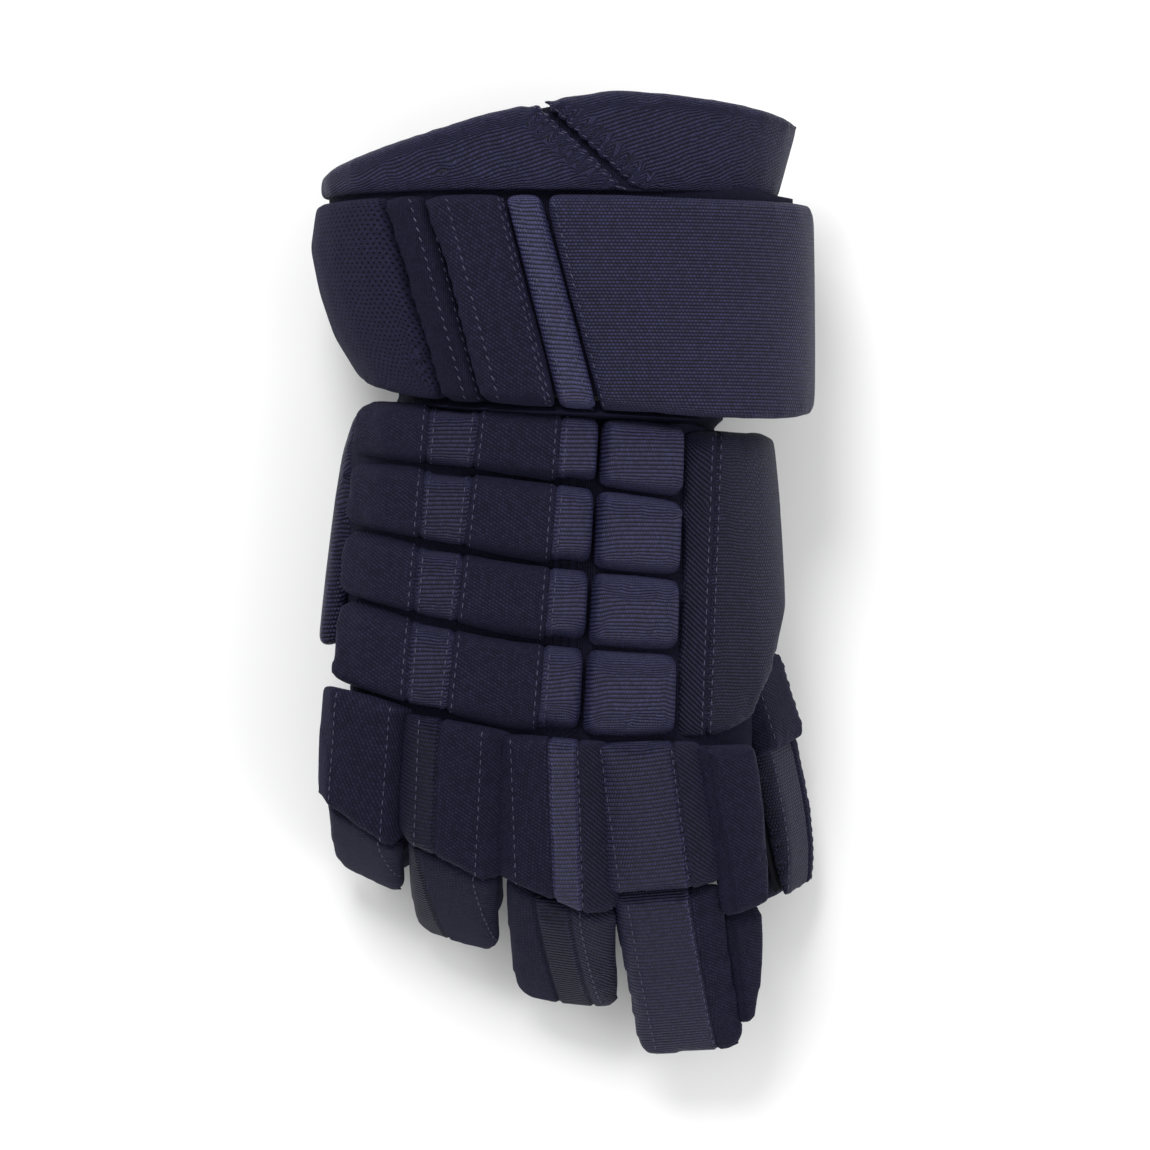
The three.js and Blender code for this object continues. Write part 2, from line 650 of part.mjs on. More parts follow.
function thumb() {
  const outward = UP.clone().multiplyScalar(PAD_TOP).applyMatrix4(turn(THUMB));
  const at = new THREE.Vector3(THUMB.x, THUMB.setback - wristToKnuckle, THUMB.z).sub(outward);
  const made = digit("thumb", THUMB, degToRad(THUMB.slant), at, "knit");
  made.tipFrame.add(plateUnderPad("thumb_lock_plate", made.tip));
  return made.baseHinge;
}

// ---- The glove -----------------------------------------------------------------------------

const glove = new THREE.Group();
glove.name = "hockey_glove";
const body = new THREE.Group();
body.add(
  ...backRolls(),
  piece("back_base_layer", "knit", baseLayer()),
  piece("hand_liner", "lining", handLiner()),
  piece("palm_panel", "leather", palmPanel()),
  piece("palm_patch", "leather", palmPatch()),
  piece("ulnar_panel", "knit", ulnarPanel()),
  piece("radial_panel", "webbing", radialPanel()),
  ...cuffPanels(),
  piece("cuff_liner", "lining", cuffLiner()),
  piece("cuff_palm_band", "leather", cuffPalmBand()),
  ...collar(),
);
body.add(...Object.entries(FINGERS).map(([name, size]) => finger(name, size)), thumb());
glove.add(body);

// The frame's origin is under the middle of the glove, on the surface it rests on.
glove.updateMatrixWorld(true);
const bounds = new THREE.Box3().setFromObject(body, true);
const middle = bounds.getCenter(new THREE.Vector3());
body.position.set(-middle.x, -middle.y, -bounds.min.z);
glove.updateMatrixWorld(true);

export default glove;
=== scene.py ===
"""A right-hand ice hockey glove: padded covers, stalls, palm, linings, gussets and stitching on its frame."""
import json
import math
from collections import namedtuple

import bmesh
import bpy
from bpy.props import FloatProperty, FloatVectorProperty, IntProperty, PointerProperty
from bpy.types import Operator, Panel, PropertyGroup
from mathutils import Matrix, Vector, noise
from mathutils.bvhtree import BVHTree


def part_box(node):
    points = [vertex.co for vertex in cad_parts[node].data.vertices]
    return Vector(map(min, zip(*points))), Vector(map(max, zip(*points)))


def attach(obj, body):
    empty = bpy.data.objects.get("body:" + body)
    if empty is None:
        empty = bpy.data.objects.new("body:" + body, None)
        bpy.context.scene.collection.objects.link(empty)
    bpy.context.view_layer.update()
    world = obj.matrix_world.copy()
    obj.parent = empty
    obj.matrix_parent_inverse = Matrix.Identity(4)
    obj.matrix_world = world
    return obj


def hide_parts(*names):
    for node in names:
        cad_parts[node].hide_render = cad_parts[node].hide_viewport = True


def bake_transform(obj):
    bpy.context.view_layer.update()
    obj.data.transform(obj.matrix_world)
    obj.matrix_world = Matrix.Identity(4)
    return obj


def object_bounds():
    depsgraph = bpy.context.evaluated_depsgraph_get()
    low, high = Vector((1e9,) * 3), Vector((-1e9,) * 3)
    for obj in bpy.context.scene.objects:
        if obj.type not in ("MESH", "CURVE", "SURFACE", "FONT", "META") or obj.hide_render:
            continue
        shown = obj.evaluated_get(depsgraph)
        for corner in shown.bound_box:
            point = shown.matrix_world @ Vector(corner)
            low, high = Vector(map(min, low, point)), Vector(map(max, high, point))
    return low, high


bl_info = {
    "name": "Padded hockey glove",
    "version": (1, 0, 0),
    "blender": (4, 5, 0),
    "location": "3D View > Sidebar > Glove",
    "description": "Builds the padded covers, palm, linings and stitching of a hockey glove on its frame",
    "category": "Object",
}

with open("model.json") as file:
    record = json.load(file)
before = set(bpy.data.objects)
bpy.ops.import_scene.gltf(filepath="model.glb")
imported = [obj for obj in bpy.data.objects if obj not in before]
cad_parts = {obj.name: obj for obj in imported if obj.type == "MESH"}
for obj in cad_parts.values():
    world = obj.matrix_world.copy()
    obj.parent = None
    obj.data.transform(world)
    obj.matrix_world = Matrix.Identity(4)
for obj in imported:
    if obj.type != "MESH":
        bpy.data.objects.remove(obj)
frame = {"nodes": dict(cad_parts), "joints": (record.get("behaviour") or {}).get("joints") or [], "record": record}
FRAME_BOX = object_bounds()
NODES = frame["nodes"]
JOINTS = {joint["child"]: joint for joint in frame["joints"]}

MM = 0.001
FINGERS = ("pinky", "ring", "middle", "index")
DIGITS = FINGERS + ("thumb",)
ROWS = (1, 2, 3, 4)
CUFF_PANELS = ("cuff_outer_pad", "cuff_stretch_strip", "cuff_centre_pad", "cuff_webbing_strip", "cuff_thumb_pad")
COLLAR_HALVES = ("collar_outer_half", "collar_thumb_half")


# ---- Sizes and colours that a user would change ---------------------------------------------


def length_of(name, description, default):
    return FloatProperty(name=name, description=description, default=default, min=0.0, unit="LENGTH")


def number_of(name, description, default, high):
    return FloatProperty(name=name, description=description, default=default, min=0.0, max=high)


def colour_of(name, description, default):
    return FloatVectorProperty(
        name=name, description=description, default=default, size=3, min=0.0, max=1.0, subtype="COLOR"
    )


class GloveSizes(PropertyGroup):
    voxel: length_of("Voxel", "Cell size of the pads' remesh", 0.0018)
    rounding: IntProperty(name="Rounding", description="Smoothing passes on a pad's corners", default=7)
    puff: length_of("Puff", "The furthest that filling moves a pad's face", 0.0016)
    pressure: number_of("Pressure", "Air pressure that fills the pads", 4.0, 50.0)
    seam_depth: length_of("Seam depth", "How far a sewn channel is pulled in", 0.0008)
    seam_width: length_of("Seam width", "Half width of a sewn channel", 0.0012)
    rib: length_of("Rib", "Spacing of the ribs in the webbing", 0.00155)
    stitch: length_of("Stitch", "Length of one stitch", 0.0024)
    stitch_gap: length_of("Stitch gap", "Space between stitches", 0.0012)
    thread: length_of("Thread", "Thickness of the sewing thread", 0.00042)


class GloveColours(PropertyGroup):
    matte: colour_of("Matte fabric", "Matte cover fabric", (0.0118, 0.0112, 0.0290))
    webbing: colour_of("Webbing", "Ribbed webbing", (0.0225, 0.0220, 0.0640))
    leather: colour_of("Leather", "Palm and stall leather", (0.0100, 0.0095, 0.0210))
    patch: colour_of("Patch", "Palm patch leather", (0.0150, 0.0145, 0.0280))
    lining: colour_of("Lining", "Brushed lining", (0.0120, 0.0120, 0.0200))
    plastic: colour_of("Plastic", "Stiffening plates", (0.0140, 0.0140, 0.0200))
    thread: colour_of("Thread", "Sewing thread", (0.0420, 0.0420, 0.0950))


class GloveStage(PropertyGroup):
    camera_height: length_of("Camera height", "Height of the camera over the floor", 2.0)
    camera_x: FloatProperty(name="Camera X", description="Camera place across", default=0.0036, unit="LENGTH")
    camera_y: FloatProperty(name="Camera Y", description="Camera place along", default=0.0022, unit="LENGTH")
    view_width: length_of("View width", "Width in view at the level of the back", 0.4025)
    floor: colour_of("Floor", "Floor colour", (0.95, 0.95, 0.95))
    key_power: FloatProperty(name="Key", description="Power of the key light", default=17.0, unit="POWER")
    fill_power: FloatProperty(name="Fill", description="Power of the fill light", default=5.0, unit="POWER")
    sky: number_of("Sky", "Strength of the even light", 0.78, 5.0)


def sizes():
    return bpy.context.scene.glove_sizes


def colours():
    return bpy.context.scene.glove_colours


# ---- Materials ------------------------------------------------------------------------------


def tinted(colour, bright):
    """A colour made brighter or darker."""
    return tuple(value * bright for value in colour)


SHEEN_ROUGHNESS = 0.45
SHEEN_TINT = (0.40, 0.42, 1.0, 1.0)


class Graph:
    """A material's nodes, written as short calls. Cloth patterns read the piece's flat cloth map."""

    def __init__(self, name, roughness, sheen=0.0, specular=0.4):
        self.material = bpy.data.materials.new(name)
        self.material.use_nodes = True
        self.nodes = self.material.node_tree.nodes
        self.links = self.material.node_tree.links
        self.shader = self.nodes["Principled BSDF"]
        self.shader.inputs["Roughness"].default_value = roughness
        self.shader.inputs["Specular IOR Level"].default_value = specular
        self.shader.inputs["Sheen Weight"].default_value = sheen
        self.shader.inputs["Sheen Roughness"].default_value = SHEEN_ROUGHNESS
        self.shader.inputs["Sheen Tint"].default_value = SHEEN_TINT

    def put(self, socket, value):
        if isinstance(value, bpy.types.NodeSocket):
            self.links.new(value, socket)
        else:
            socket.default_value = value

    def node(self, kind, inputs=(), **settings):
        made = self.nodes.new(f"ShaderNode{kind}")
        for setting, value in settings.items():
            setattr(made, setting, value)
        for key, value in dict(inputs).items():
            self.put(made.inputs[key], value)
        return made

    def math(self, operation, *values):
        made = self.node("Math", operation=operation)
        for socket, value in zip(made.inputs, values):
            self.put(socket, value)
        return made.outputs[0]

    def ramp(self, value, low, high):
        """0 below low, 1 above high, and smooth between."""
        made = self.node("MapRange", {"Value": value, "From Min": low, "From Max": high})
        made.interpolation_type = "SMOOTHSTEP"
        return made.outputs[0]

    def mix(self, factor, a, b):
        made = self.node("Mix", data_type="RGBA")
        self.put(made.inputs[0], factor)
        self.put(made.inputs[6], a)
        self.put(made.inputs[7], b)
        return made.outputs[2]

    def flat(self, turn=0.0):
        """The cloth map's two coordinates in millimetres, turned by an angle in degrees."""
        uv = self.node("UVMap", uv_map="cloth")
        turned = self.node("Mapping", {"Vector": uv.outputs[0], "Rotation": (0, 0, math.radians(turn))})
        split = self.node("SeparateXYZ", {"Vector": turned.outputs[0]})
        return split.outputs[0], split.outputs[1]

    def solid(self, scale):
        """The piece's own coordinates, scaled."""
        place = self.node("TexCoord").outputs["Object"]
        return self.node("Mapping", {"Vector": place, "Scale": (scale,) * 3}).outputs[0]

    def noise(self, vector, scale, detail=3.0):
        made = self.node("TexNoise", {"Vector": vector, "Scale": scale, "Detail": detail})
        return made.outputs["Fac"]

    def weave(self, x, y, across, along, stagger=0.5, bead=0.6):
        """Height of threads spaced like this, and a random number for each crossing."""
        row = self.math("DIVIDE", y, along)
        shift = self.math("MULTIPLY", self.math("FLOOR", row), stagger)
        column = self.math("ADD", self.math("DIVIDE", x, across), shift)
        rib = self.math("SINE", self.math("MULTIPLY", self.math("FRACT", row), math.pi))
        knot = self.math("SINE", self.math("MULTIPLY", self.math("FRACT", column), math.pi))
        height = self.math("MULTIPLY", rib, self.math("MULTIPLY_ADD", knot, bead, 1 - bead))
        cell = self.node("CombineXYZ", {0: self.math("FLOOR", column), 1: self.math("FLOOR", row)})
        grain = self.node("TexWhiteNoise", {"Vector": cell.outputs[0]}, noise_dimensions="2D")
        return height, grain.outputs["Value"]

    def scale(self, colour, factor):
        """The colour multiplied by a factor that varies over the piece."""
        made = self.node("VectorMath", {0: colour, "Scale": factor}, operation="SCALE")
        return made.outputs[0]

    def finish(self, tint, height, relief, dark, grain=None, rim_wear_and_highlight=0.5):
        """Colours the cloth from its height with painted shade in its low places, lightens its rims with wear and
        a painted highlight, and raises its threads.
        """
        # Painted shade: the low places of the surface (thread valleys, mesh holes, pores, creases) take the tint
        # darkened by the dark factor.
        deep = tinted(tint, dark) + (1.0,)
        # The rim colour: the tint made lighter, partly for wear and partly as a painted highlight on the pads'
        # edges.
        light = tuple(min(value * (1 + rim_wear_and_highlight) + 0.004 * rim_wear_and_highlight, 1.0) for value in tint) + (1.0,)
        body = self.mix(self.ramp(height, 0.05, 0.75), deep, tuple(tint) + (1.0,))
        rim = self.node("Attribute", attribute_name="rim").outputs["Fac"]
        patchy = self.noise(self.solid(1.0), 45.0)
        rim = self.math("MULTIPLY", rim, self.ramp(patchy, 0.3, 0.7))
        # Partly wear and partly painted highlight: the raised threads on the rims take the lighter rim colour, in
        # patches.
        body = self.mix(self.math("MULTIPLY", rim, self.ramp(height, 0.1, 0.8)), body, light)
        cloudy = self.math("MULTIPLY_ADD", self.noise(self.solid(1.0), 14.0), 0.3, 0.85)
        if grain is not None:
            cloudy = self.math("MULTIPLY", cloudy, self.math("MULTIPLY_ADD", grain, 0.5, 0.75))
        self.put(self.shader.inputs["Base Color"], self.scale(body, cloudy))
        bump = self.node("Bump", {"Height": height, "Distance": relief, "Strength": 1.0})
        self.put(self.shader.inputs["Normal"], bump.outputs[0])
        return self.material


def matte_cloth(name, turn=35.0, pitch=1.25):
    """Matte cover fabric with a fine diagonal weave."""
    graph = Graph(name, roughness=0.8, sheen=0.04, specular=0.1)
    x, y = graph.flat(turn)
    height, grain = graph.weave(x, y, pitch * 1.1, pitch, bead=0.75)
    return graph.finish(colours().matte, height, 0.00022, dark=0.35, grain=grain)


def pierced_cloth(name):
    """Cover mesh with staggered small holes over a fine knit."""
    graph = Graph(name, roughness=0.8, sheen=0.04, specular=0.1)
    x, y = graph.flat(0.0)
    hole, _ = graph.weave(x, y, 2.5, 1.7, bead=1.0)
    fine, grain = graph.weave(x, y, 0.8, 0.55, bead=0.5)
    solid = graph.math("SUBTRACT", 1.0, graph.ramp(hole, 0.66, 0.85))
    height = graph.math("MULTIPLY", solid, graph.math("MULTIPLY_ADD", fine, 0.4, 0.6))
    return graph.finish(colours().matte, height, 0.00035, dark=0.12, grain=grain)


def ribbed_webbing(name, bright=1.0, across=1.05, turn=0.0):
    """Polyester webbing: glossy ribs made of rows of small beads."""
    graph = Graph(name, roughness=0.5, sheen=0.06 * bright, specular=0.26 * bright)
    x, y = graph.flat(turn)
    height, grain = graph.weave(x, y, across, sizes().rib / MM, bead=0.45)
    tint = tinted(colours().webbing, bright)
    return graph.finish(tint, height, 0.0005, dark=0.08, grain=grain, rim_wear_and_highlight=0.9)


def twill_cloth(name, turn=-17.0, bright=0.72):
    """Collar and flank twill: slanted ribs of short threads."""
    graph = Graph(name, roughness=0.6, sheen=0.05, specular=0.16)
    x, y = graph.flat(turn)
    height, grain = graph.weave(x, y, 1.5, 1.5, stagger=0.37, bead=0.5)
    tint = tinted(colours().webbing, bright)
    return graph.finish(tint, height, 0.0005, dark=0.12, grain=grain)


def ballistic_cloth(name, bright=0.95):
    """Coarse plain-woven nylon of the cuff's thumb pad."""
    graph = Graph(name, roughness=0.6, sheen=0.05, specular=0.2)
    x, y = graph.flat(0.0)
    height, grain = graph.weave(x, y, 1.35, 1.2, bead=0.8)
    tint = tinted(colours().webbing, bright)
    return graph.finish(tint, height, 0.0005, dark=0.08, grain=grain, rim_wear_and_highlight=1.0)


def stretch_knit(name):
    """Fine dark stretch knit with narrow wales."""
    graph = Graph(name, roughness=0.85, sheen=0.03, specular=0.1)
    x, y = graph.flat(90.0)
    height, grain = graph.weave(x, y, 0.9, 0.8, stagger=0.0, bead=0.5)
    tint = tinted(colours().matte, 0.75)
    return graph.finish(tint, height, 0.0002, dark=0.4, grain=grain)


def suede_leather(name, tint):
    """Nash leather: a fine suede nap with soft creases."""
    graph = Graph(name, roughness=0.82, sheen=0.08, specular=0.12)
    place = graph.solid(1.0)
    nap = graph.noise(place, 2600.0, 2.0)
    pores = graph.node("TexVoronoi", {"Vector": place, "Scale": 900.0}).outputs["Distance"]
    crease = graph.noise(place, 160.0, 5.0)
    grainy = graph.math("MULTIPLY_ADD", graph.ramp(pores, 0.1, 0.6), 0.4, graph.math("MULTIPLY", nap, 0.35))
    height = graph.math("MULTIPLY_ADD", crease, 0.45, grainy)
    return graph.finish(tint, height, 0.00025, dark=0.6, rim_wear_and_highlight=0.8)


def brushed_lining(name):
    """Brushed lining fabric inside the hand, the cuff and the gussets."""
    graph = Graph(name, roughness=0.95, sheen=0.06, specular=0.05)
    place = graph.solid(1.0)
    pile = graph.noise(place, 1800.0, 4.0)
    wales = graph.node("TexWave", {"Vector": place, "Scale": 220.0, "Distortion": 2.0}).outputs["Fac"]
    height = graph.math("MULTIPLY_ADD", wales, 0.4, graph.math("MULTIPLY", pile, 0.6))
    return graph.finish(colours().lining, height, 0.0002, dark=0.5, rim_wear_and_highlight=0.2)


def plate_plastic(name):
    """Dark polyethylene sheet with scuffs and a moulded grain."""
    graph = Graph(name, roughness=0.42, specular=0.5)
    place = graph.solid(1.0)
    grain = graph.noise(place, 1200.0, 3.0)
    scuffs = graph.noise(place, 60.0, 8.0)
    graph.put(graph.shader.inputs["Roughness"], graph.math("MULTIPLY_ADD", scuffs, 0.35, 0.25))
    height = graph.math("MULTIPLY_ADD", grain, 0.5, graph.math("MULTIPLY", scuffs, 0.5))
    return graph.finish(colours().plastic, height, 0.00008, dark=0.85, rim_wear_and_highlight=0.1)


def sewing_thread(name):
    """Bonded thread with a slanted twist."""
    graph = Graph(name, roughness=0.45, specular=0.5)
    twist = graph.node("TexWave", {"Vector": graph.solid(1.0), "Scale": 900.0}, bands_direction="DIAGONAL")
    return graph.finish(colours().thread, twist.outputs["Fac"], 0.0001, dark=0.45, rim_wear_and_highlight=0.0)


RECIPES = {
    "matte": lambda: matte_cloth("Matte_weave"),
    "matte_steep": lambda: matte_cloth("Matte_weave_steep", turn=62.0, pitch=1.4),
    "pierced": lambda: pierced_cloth("Pierced_mesh"),
    "webbing": lambda: ribbed_webbing("Ribbed_webbing"),
    "webbing_soft": lambda: ribbed_webbing("Ribbed_webbing_soft", bright=0.72),
    "webbing_strip": lambda: ribbed_webbing("Webbing_strip", bright=1.25, across=1.4),
    "twill": lambda: twill_cloth("Slanted_twill"),
    # Painted shade: the flank twill is the slanted twill made darker (0.45 instead of 0.72) for steep flanks that
    # face away from the light, on the broad guard and on the middle and index pads.
    "flank": lambda: twill_cloth("Flank_twill", turn=38.0, bright=0.45),
    "ballistic": lambda: ballistic_cloth("Ballistic_nylon"),
    "guard": lambda: ballistic_cloth("Guard_nylon", bright=0.6),
    "webbing_dark": lambda: ribbed_webbing("Ribbed_webbing_dark", bright=0.42),
    "knit": lambda: stretch_knit("Stretch_knit"),
    "leather": lambda: suede_leather("Palm_suede", colours().leather),
    "patch": lambda: suede_leather("Patch_suede", colours().patch),
    "lining": lambda: brushed_lining("Brushed_lining"),
    "plate": lambda: plate_plastic("Plate_plastic"),
    "thread": lambda: sewing_thread("Sewing_thread"),
}
MADE = {}


def cloth(name):
    """The material of this name, made once."""
    if name not in MADE:
        MADE[name] = RECIPES[name]()
    return MADE[name]


# ---- Places on the frame --------------------------------------------------------------------


def box_of(*nodes):
    """The lowest and highest corner of several frame nodes."""
    boxes = [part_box(node) for node in nodes]
    low = Vector([min(box[0][i] for box in boxes) for i in range(3)])
    high = Vector([max(box[1][i] for box in boxes) for i in range(3)])
    return low, high


def squared(value, power):
    """A sine or cosine pushed outward by a power under 1, which squares its circle off."""
    return math.copysign(abs(value) ** power, value)


def middle_of(mesh):
    return sum((vertex.co for vertex in mesh.vertices), Vector()) / len(mesh.vertices)


class Oval:
    """A squarish oval around the Y axis: it gives each point its arc, its depth and its own axes."""

    POWER = 2.4
    STEPS = 360

    def __init__(self, centre, left, right, up, down):
        self.centre, self.left, self.right, self.up, self.down = centre, left, right, up, down
        self.arcs = [0.0]
        for step in range(self.STEPS):
            a = self.at(2 * math.pi * step / self.STEPS)
            b = self.at(2 * math.pi * (step + 1) / self.STEPS)
            self.arcs.append(self.arcs[-1] + (b - a).length)

    def at(self, angle):
        c, s = math.cos(angle), math.sin(angle)
        bend = 2 / self.POWER
        x = (self.right if c > 0 else self.left) * squared(c, bend)
        z = (self.up if s > 0 else self.down) * squared(s, bend)
        return Vector((self.centre[0] + x, 0, self.centre[1] + z))

    def angle(self, point):
        x, z = point.x - self.centre[0], point.z - self.centre[1]
        across = abs(x / (self.right if x > 0 else self.left)) ** (self.POWER / 2)
        high = abs(z / (self.up if z > 0 else self.down)) ** (self.POWER / 2)
        return math.atan2(math.copysign(high, z), math.copysign(across, x)) % (2 * math.pi)

    def flatten(self, point):
        """(arc, along, depth, across direction, along direction) at a point."""
        turn = self.angle(point) / (2 * math.pi) * self.STEPS
        step = min(int(turn), self.STEPS - 1)
        arc = self.arcs[step] + (self.arcs[step + 1] - self.arcs[step]) * (turn - step)
        on = self.at(2 * math.pi * turn / self.STEPS)
        centre = Vector((self.centre[0], 0, self.centre[1]))
        flat = Vector((point.x, 0, point.z))
        depth = (on - centre).length - (flat - centre).length
        after = self.at(2 * math.pi * (step + 1) / self.STEPS) - self.at(2 * math.pi * step / self.STEPS)
        return -arc, point.y, max(depth, 0.0), -after.normalized(), Vector((0, 1, 0))


class DigitFrame:
    """A finger or thumb length: X across, Y back toward the hand, Z out through its pad."""

    def __init__(self, body):
        pad, stall = NODES[f"{body}_pad"].data, NODES[f"{body}_stall"].data
        hinge = Vector(JOINTS[body]["pos_m"])
        outward = (middle_of(pad) - middle_of(stall)).normalized()
        sole = Vector()
        for polygon in pad.polygons:
            if polygon.normal.dot(outward) < -0.9:
                sole += polygon.normal * polygon.area
        up = -sole.normalized()
        tip = body.replace("_base", "_tip")
        if tip != body:
            end = Vector(JOINTS[tip]["pos_m"])
        else:
            way = (middle_of(stall) - hinge).normalized()
            reach = max((vertex.co - hinge).dot(way) for vertex in stall.vertices)
            far = [v.co for v in stall.vertices if (v.co - hinge).dot(way) > reach - 2 * MM]
            end = sum(far, Vector()) / len(far)
        back = hinge - end
        back = (back - up * back.dot(up)).normalized()
        across = back.cross(up)
        self.place = Matrix((across, back, up)).transposed().to_4x4()
        self.place.translation = hinge
        self.inside = self.place.inverted()
        self.top = max((self.inside @ vertex.co).z for vertex in pad.vertices)
        local = [self.inside @ vertex.co for vertex in stall.vertices]
        self.half = max(abs(co.x) for co in local)
        self.height = max(co.z for co in local)

    def flatten(self, point):
        """(across, along, depth, across direction, along direction) at a point."""
        local = self.inside @ point
        axes = self.place.to_3x3()
        return local.x, local.y, max(self.top - local.z, 0.0), axes.col[0], axes.col[1]


BACK_TOP = box_of(*(f"roll_{row}" for row in ROWS))
CUFF_BOX = box_of("cuff_outer_pad", "cuff_thumb_pad", "cuff_centre_pad")
AXIS_HEIGHT = 0.0486  # middle of the hand's and the cuff's sections
HAND = Oval((0.0, AXIS_HEIGHT), left=0.085, right=0.080, up=BACK_TOP[1].z - AXIS_HEIGHT, down=0.018)
CUFF = Oval(
    (0.0, AXIS_HEIGHT),
    left=-CUFF_BOX[0].x,
    right=CUFF_BOX[1].x,
    up=CUFF_BOX[1].z - AXIS_HEIGHT,
    down=AXIS_HEIGHT - 0.002,
)
DIGIT_FRAMES = {f"{digit}_{part}": DigitFrame(f"{digit}_{part}") for digit in DIGITS for part in ("base", "tip")}


# ---- Mesh helpers ---------------------------------------------------------------------------


def only(obj):
    """Selects this object alone, and makes it active."""
    bpy.ops.object.select_all(action="DESELECT")
    obj.select_set(True)
    bpy.context.view_layer.objects.active = obj


def apply_modifier(obj, kind, **settings):
    only(obj)
    modifier = obj.modifiers.new(kind.title(), kind)
    for setting, value in settings.items():
        setattr(modifier, setting, value)
    bpy.ops.object.modifier_apply(modifier=modifier.name)


def add_object(name, mesh):
    obj = bpy.data.objects.new(name, mesh)
    bpy.context.scene.collection.objects.link(obj)
    return obj


def copy_of(name, node):
    """A new piece with a frame node's shape, its loose triangles joined."""
    mesh = bpy.data.meshes.new(name)
    bm = bmesh.new()
    bm.from_mesh(NODES[node].data)
    bmesh.ops.remove_doubles(bm, verts=bm.verts, dist=0.01 * MM)
    bm.to_mesh(mesh)
    bm.free()
    mesh.materials.clear()
    return add_object(name, mesh)


def edit(obj, work):
    """Opens the mesh for one piece of work and writes it back."""
    bm = bmesh.new()
    bm.from_mesh(obj.data)
    bm.normal_update()
    work(bm)
    bm.to_mesh(obj.data)
    bm.free()
    obj.data.update()


def smooth_step(value, low, high):
    t = min(max((value - low) / (high - low), 0.0), 1.0)
    return t * t * (3 - 2 * t)


def mark_rims(bm):
    """Gives each vertex a number for how much it stands out, from 0 on a flat to 1 on a corner."""
    rim = bm.verts.layers.float.get("rim") or bm.verts.layers.float.new("rim")
    for vertex in bm.verts:
        around = [edge.other_vert(vertex).co - vertex.co for edge in vertex.link_edges]
        size = sum(step.length for step in around) or 1.0
        bulge = -sum(step.dot(vertex.normal) for step in around) / size
        vertex[rim] = smooth_step(bulge, 0.02, 0.16)


def lay_cloth_map(bm, wrap):
    """Unrolls the cloth over the piece: its map runs on down the sides, at real scale in millimetres."""
    uv = bm.loops.layers.uv.get("cloth") or bm.loops.layers.uv.new("cloth")
    flat = {}
    for vertex in bm.verts:
        across, along, depth, side, way = wrap(vertex.co)
        sideways, lengthwise = vertex.normal.dot(side), vertex.normal.dot(way)
        total = abs(sideways) + abs(lengthwise) + 0.05
        flat[vertex.index] = (
            (across + depth * sideways / total) / MM,
            (along + depth * lengthwise / total) / MM,
        )
    for face in bm.faces:
        for loop in face.loops:
            loop[uv].uv = flat[loop.vert.index]


def lay_cloth(bm, flatten):
    """Marks a finished mesh's rims and unrolls the cloth over it."""
    bm.normal_update()
    mark_rims(bm)
    bm.verts.index_update()
    lay_cloth_map(bm, flatten)


def rest_on_floor(bm, least=0.1 * MM):
    """Lifts the points that would lie under the floor."""
    for vertex in bm.verts:
        vertex.co.z = max(vertex.co.z, least)


def cut_channel(bm, point, normal, depth, width):
    """A sewn channel along a plane: the mesh is split there and pulled in."""
    for offset in (-width, 0.0, width):
        bmesh.ops.bisect_plane(
            bm,
            geom=bm.verts[:] + bm.edges[:] + bm.faces[:],
            dist=0.01 * MM,
            plane_co=point + normal * offset,
            plane_no=normal,
        )
    bm.normal_update()
    moves = []
    for vertex in bm.verts:
        away = abs((vertex.co - point).dot(normal))
        if away < width:
            moves.append((vertex, vertex.normal.copy() * -depth * (1 - away / width) ** 0.7))
    for vertex, move in moves:
        vertex.co += move


# ---- Padded pieces --------------------------------------------------------------------------

# cloths is one name, or one for each column between the seams; flare and longer are (left, right) and
# (free end, hand end); rounded is the length over which the free end narrows; pinched lists columns.
Pad = namedtuple(
    "Pad",
    "node body wrap cloths seams puff flare rounded longer pinched gathered",
    defaults=((), 1.0, (0.0, 0.0), 0.0, (0.0, 0.0), (), False),
)
FRAMES_OF_FILLING = 20
FILLING = {
    "quality": 4,
    "mass": 0.15,
    "tension_stiffness": 8,
    "compression_stiffness": 8,
    "shear_stiffness": 4,
    "bending_stiffness": 0.4,
    "use_pressure": True,
}


def column_of(point, seams):
    """How many of the seams lie to the left of a point."""
    return sum((point - place).dot(normal) > 0 for place, normal in seams)


def spread_foot(bm, pad):
    """Slants a digit pad's flanks outward down to its foot, draws its ends out and rounds its free end."""
    place = pad.wrap
    ys = [(place.inside @ v.co).y for v in bm.verts]
    end, start = min(ys), max(ys)
    thickness = max(place.top - min((place.inside @ v.co).z for v in bm.verts), 1 * MM)
    axis, back = place.place.to_3x3().col[0], place.place.to_3x3().col[1]
    for vertex in bm.verts:
        local = place.inside @ vertex.co
        along = (local.y - end) / (start - end)
        vertex.co += back * pad.longer[1] * smooth_step(along, 0.4, 1.0)
        vertex.co -= back * pad.longer[0] * (1 - smooth_step(along, 0.0, 0.6))
        side, wide = (-1, pad.flare[0]) if local.x < 0 else (1, pad.flare[1])
        at_foot = smooth_step((place.top - local.z) / thickness, 0.05, 0.9)
        at_top = 0.4 if pad.rounded else 0.0
        wide *= (at_top + (1 - at_top) * at_foot) * smooth_step(abs(local.x), 4 * MM, 12 * MM)
        if pad.rounded:
            near = 1 - min((local.y - end) / pad.rounded, 1.0)
            wide -= (abs(local.x) + wide) * 0.3 * near**2.5
        vertex.co += axis * (wide * side)


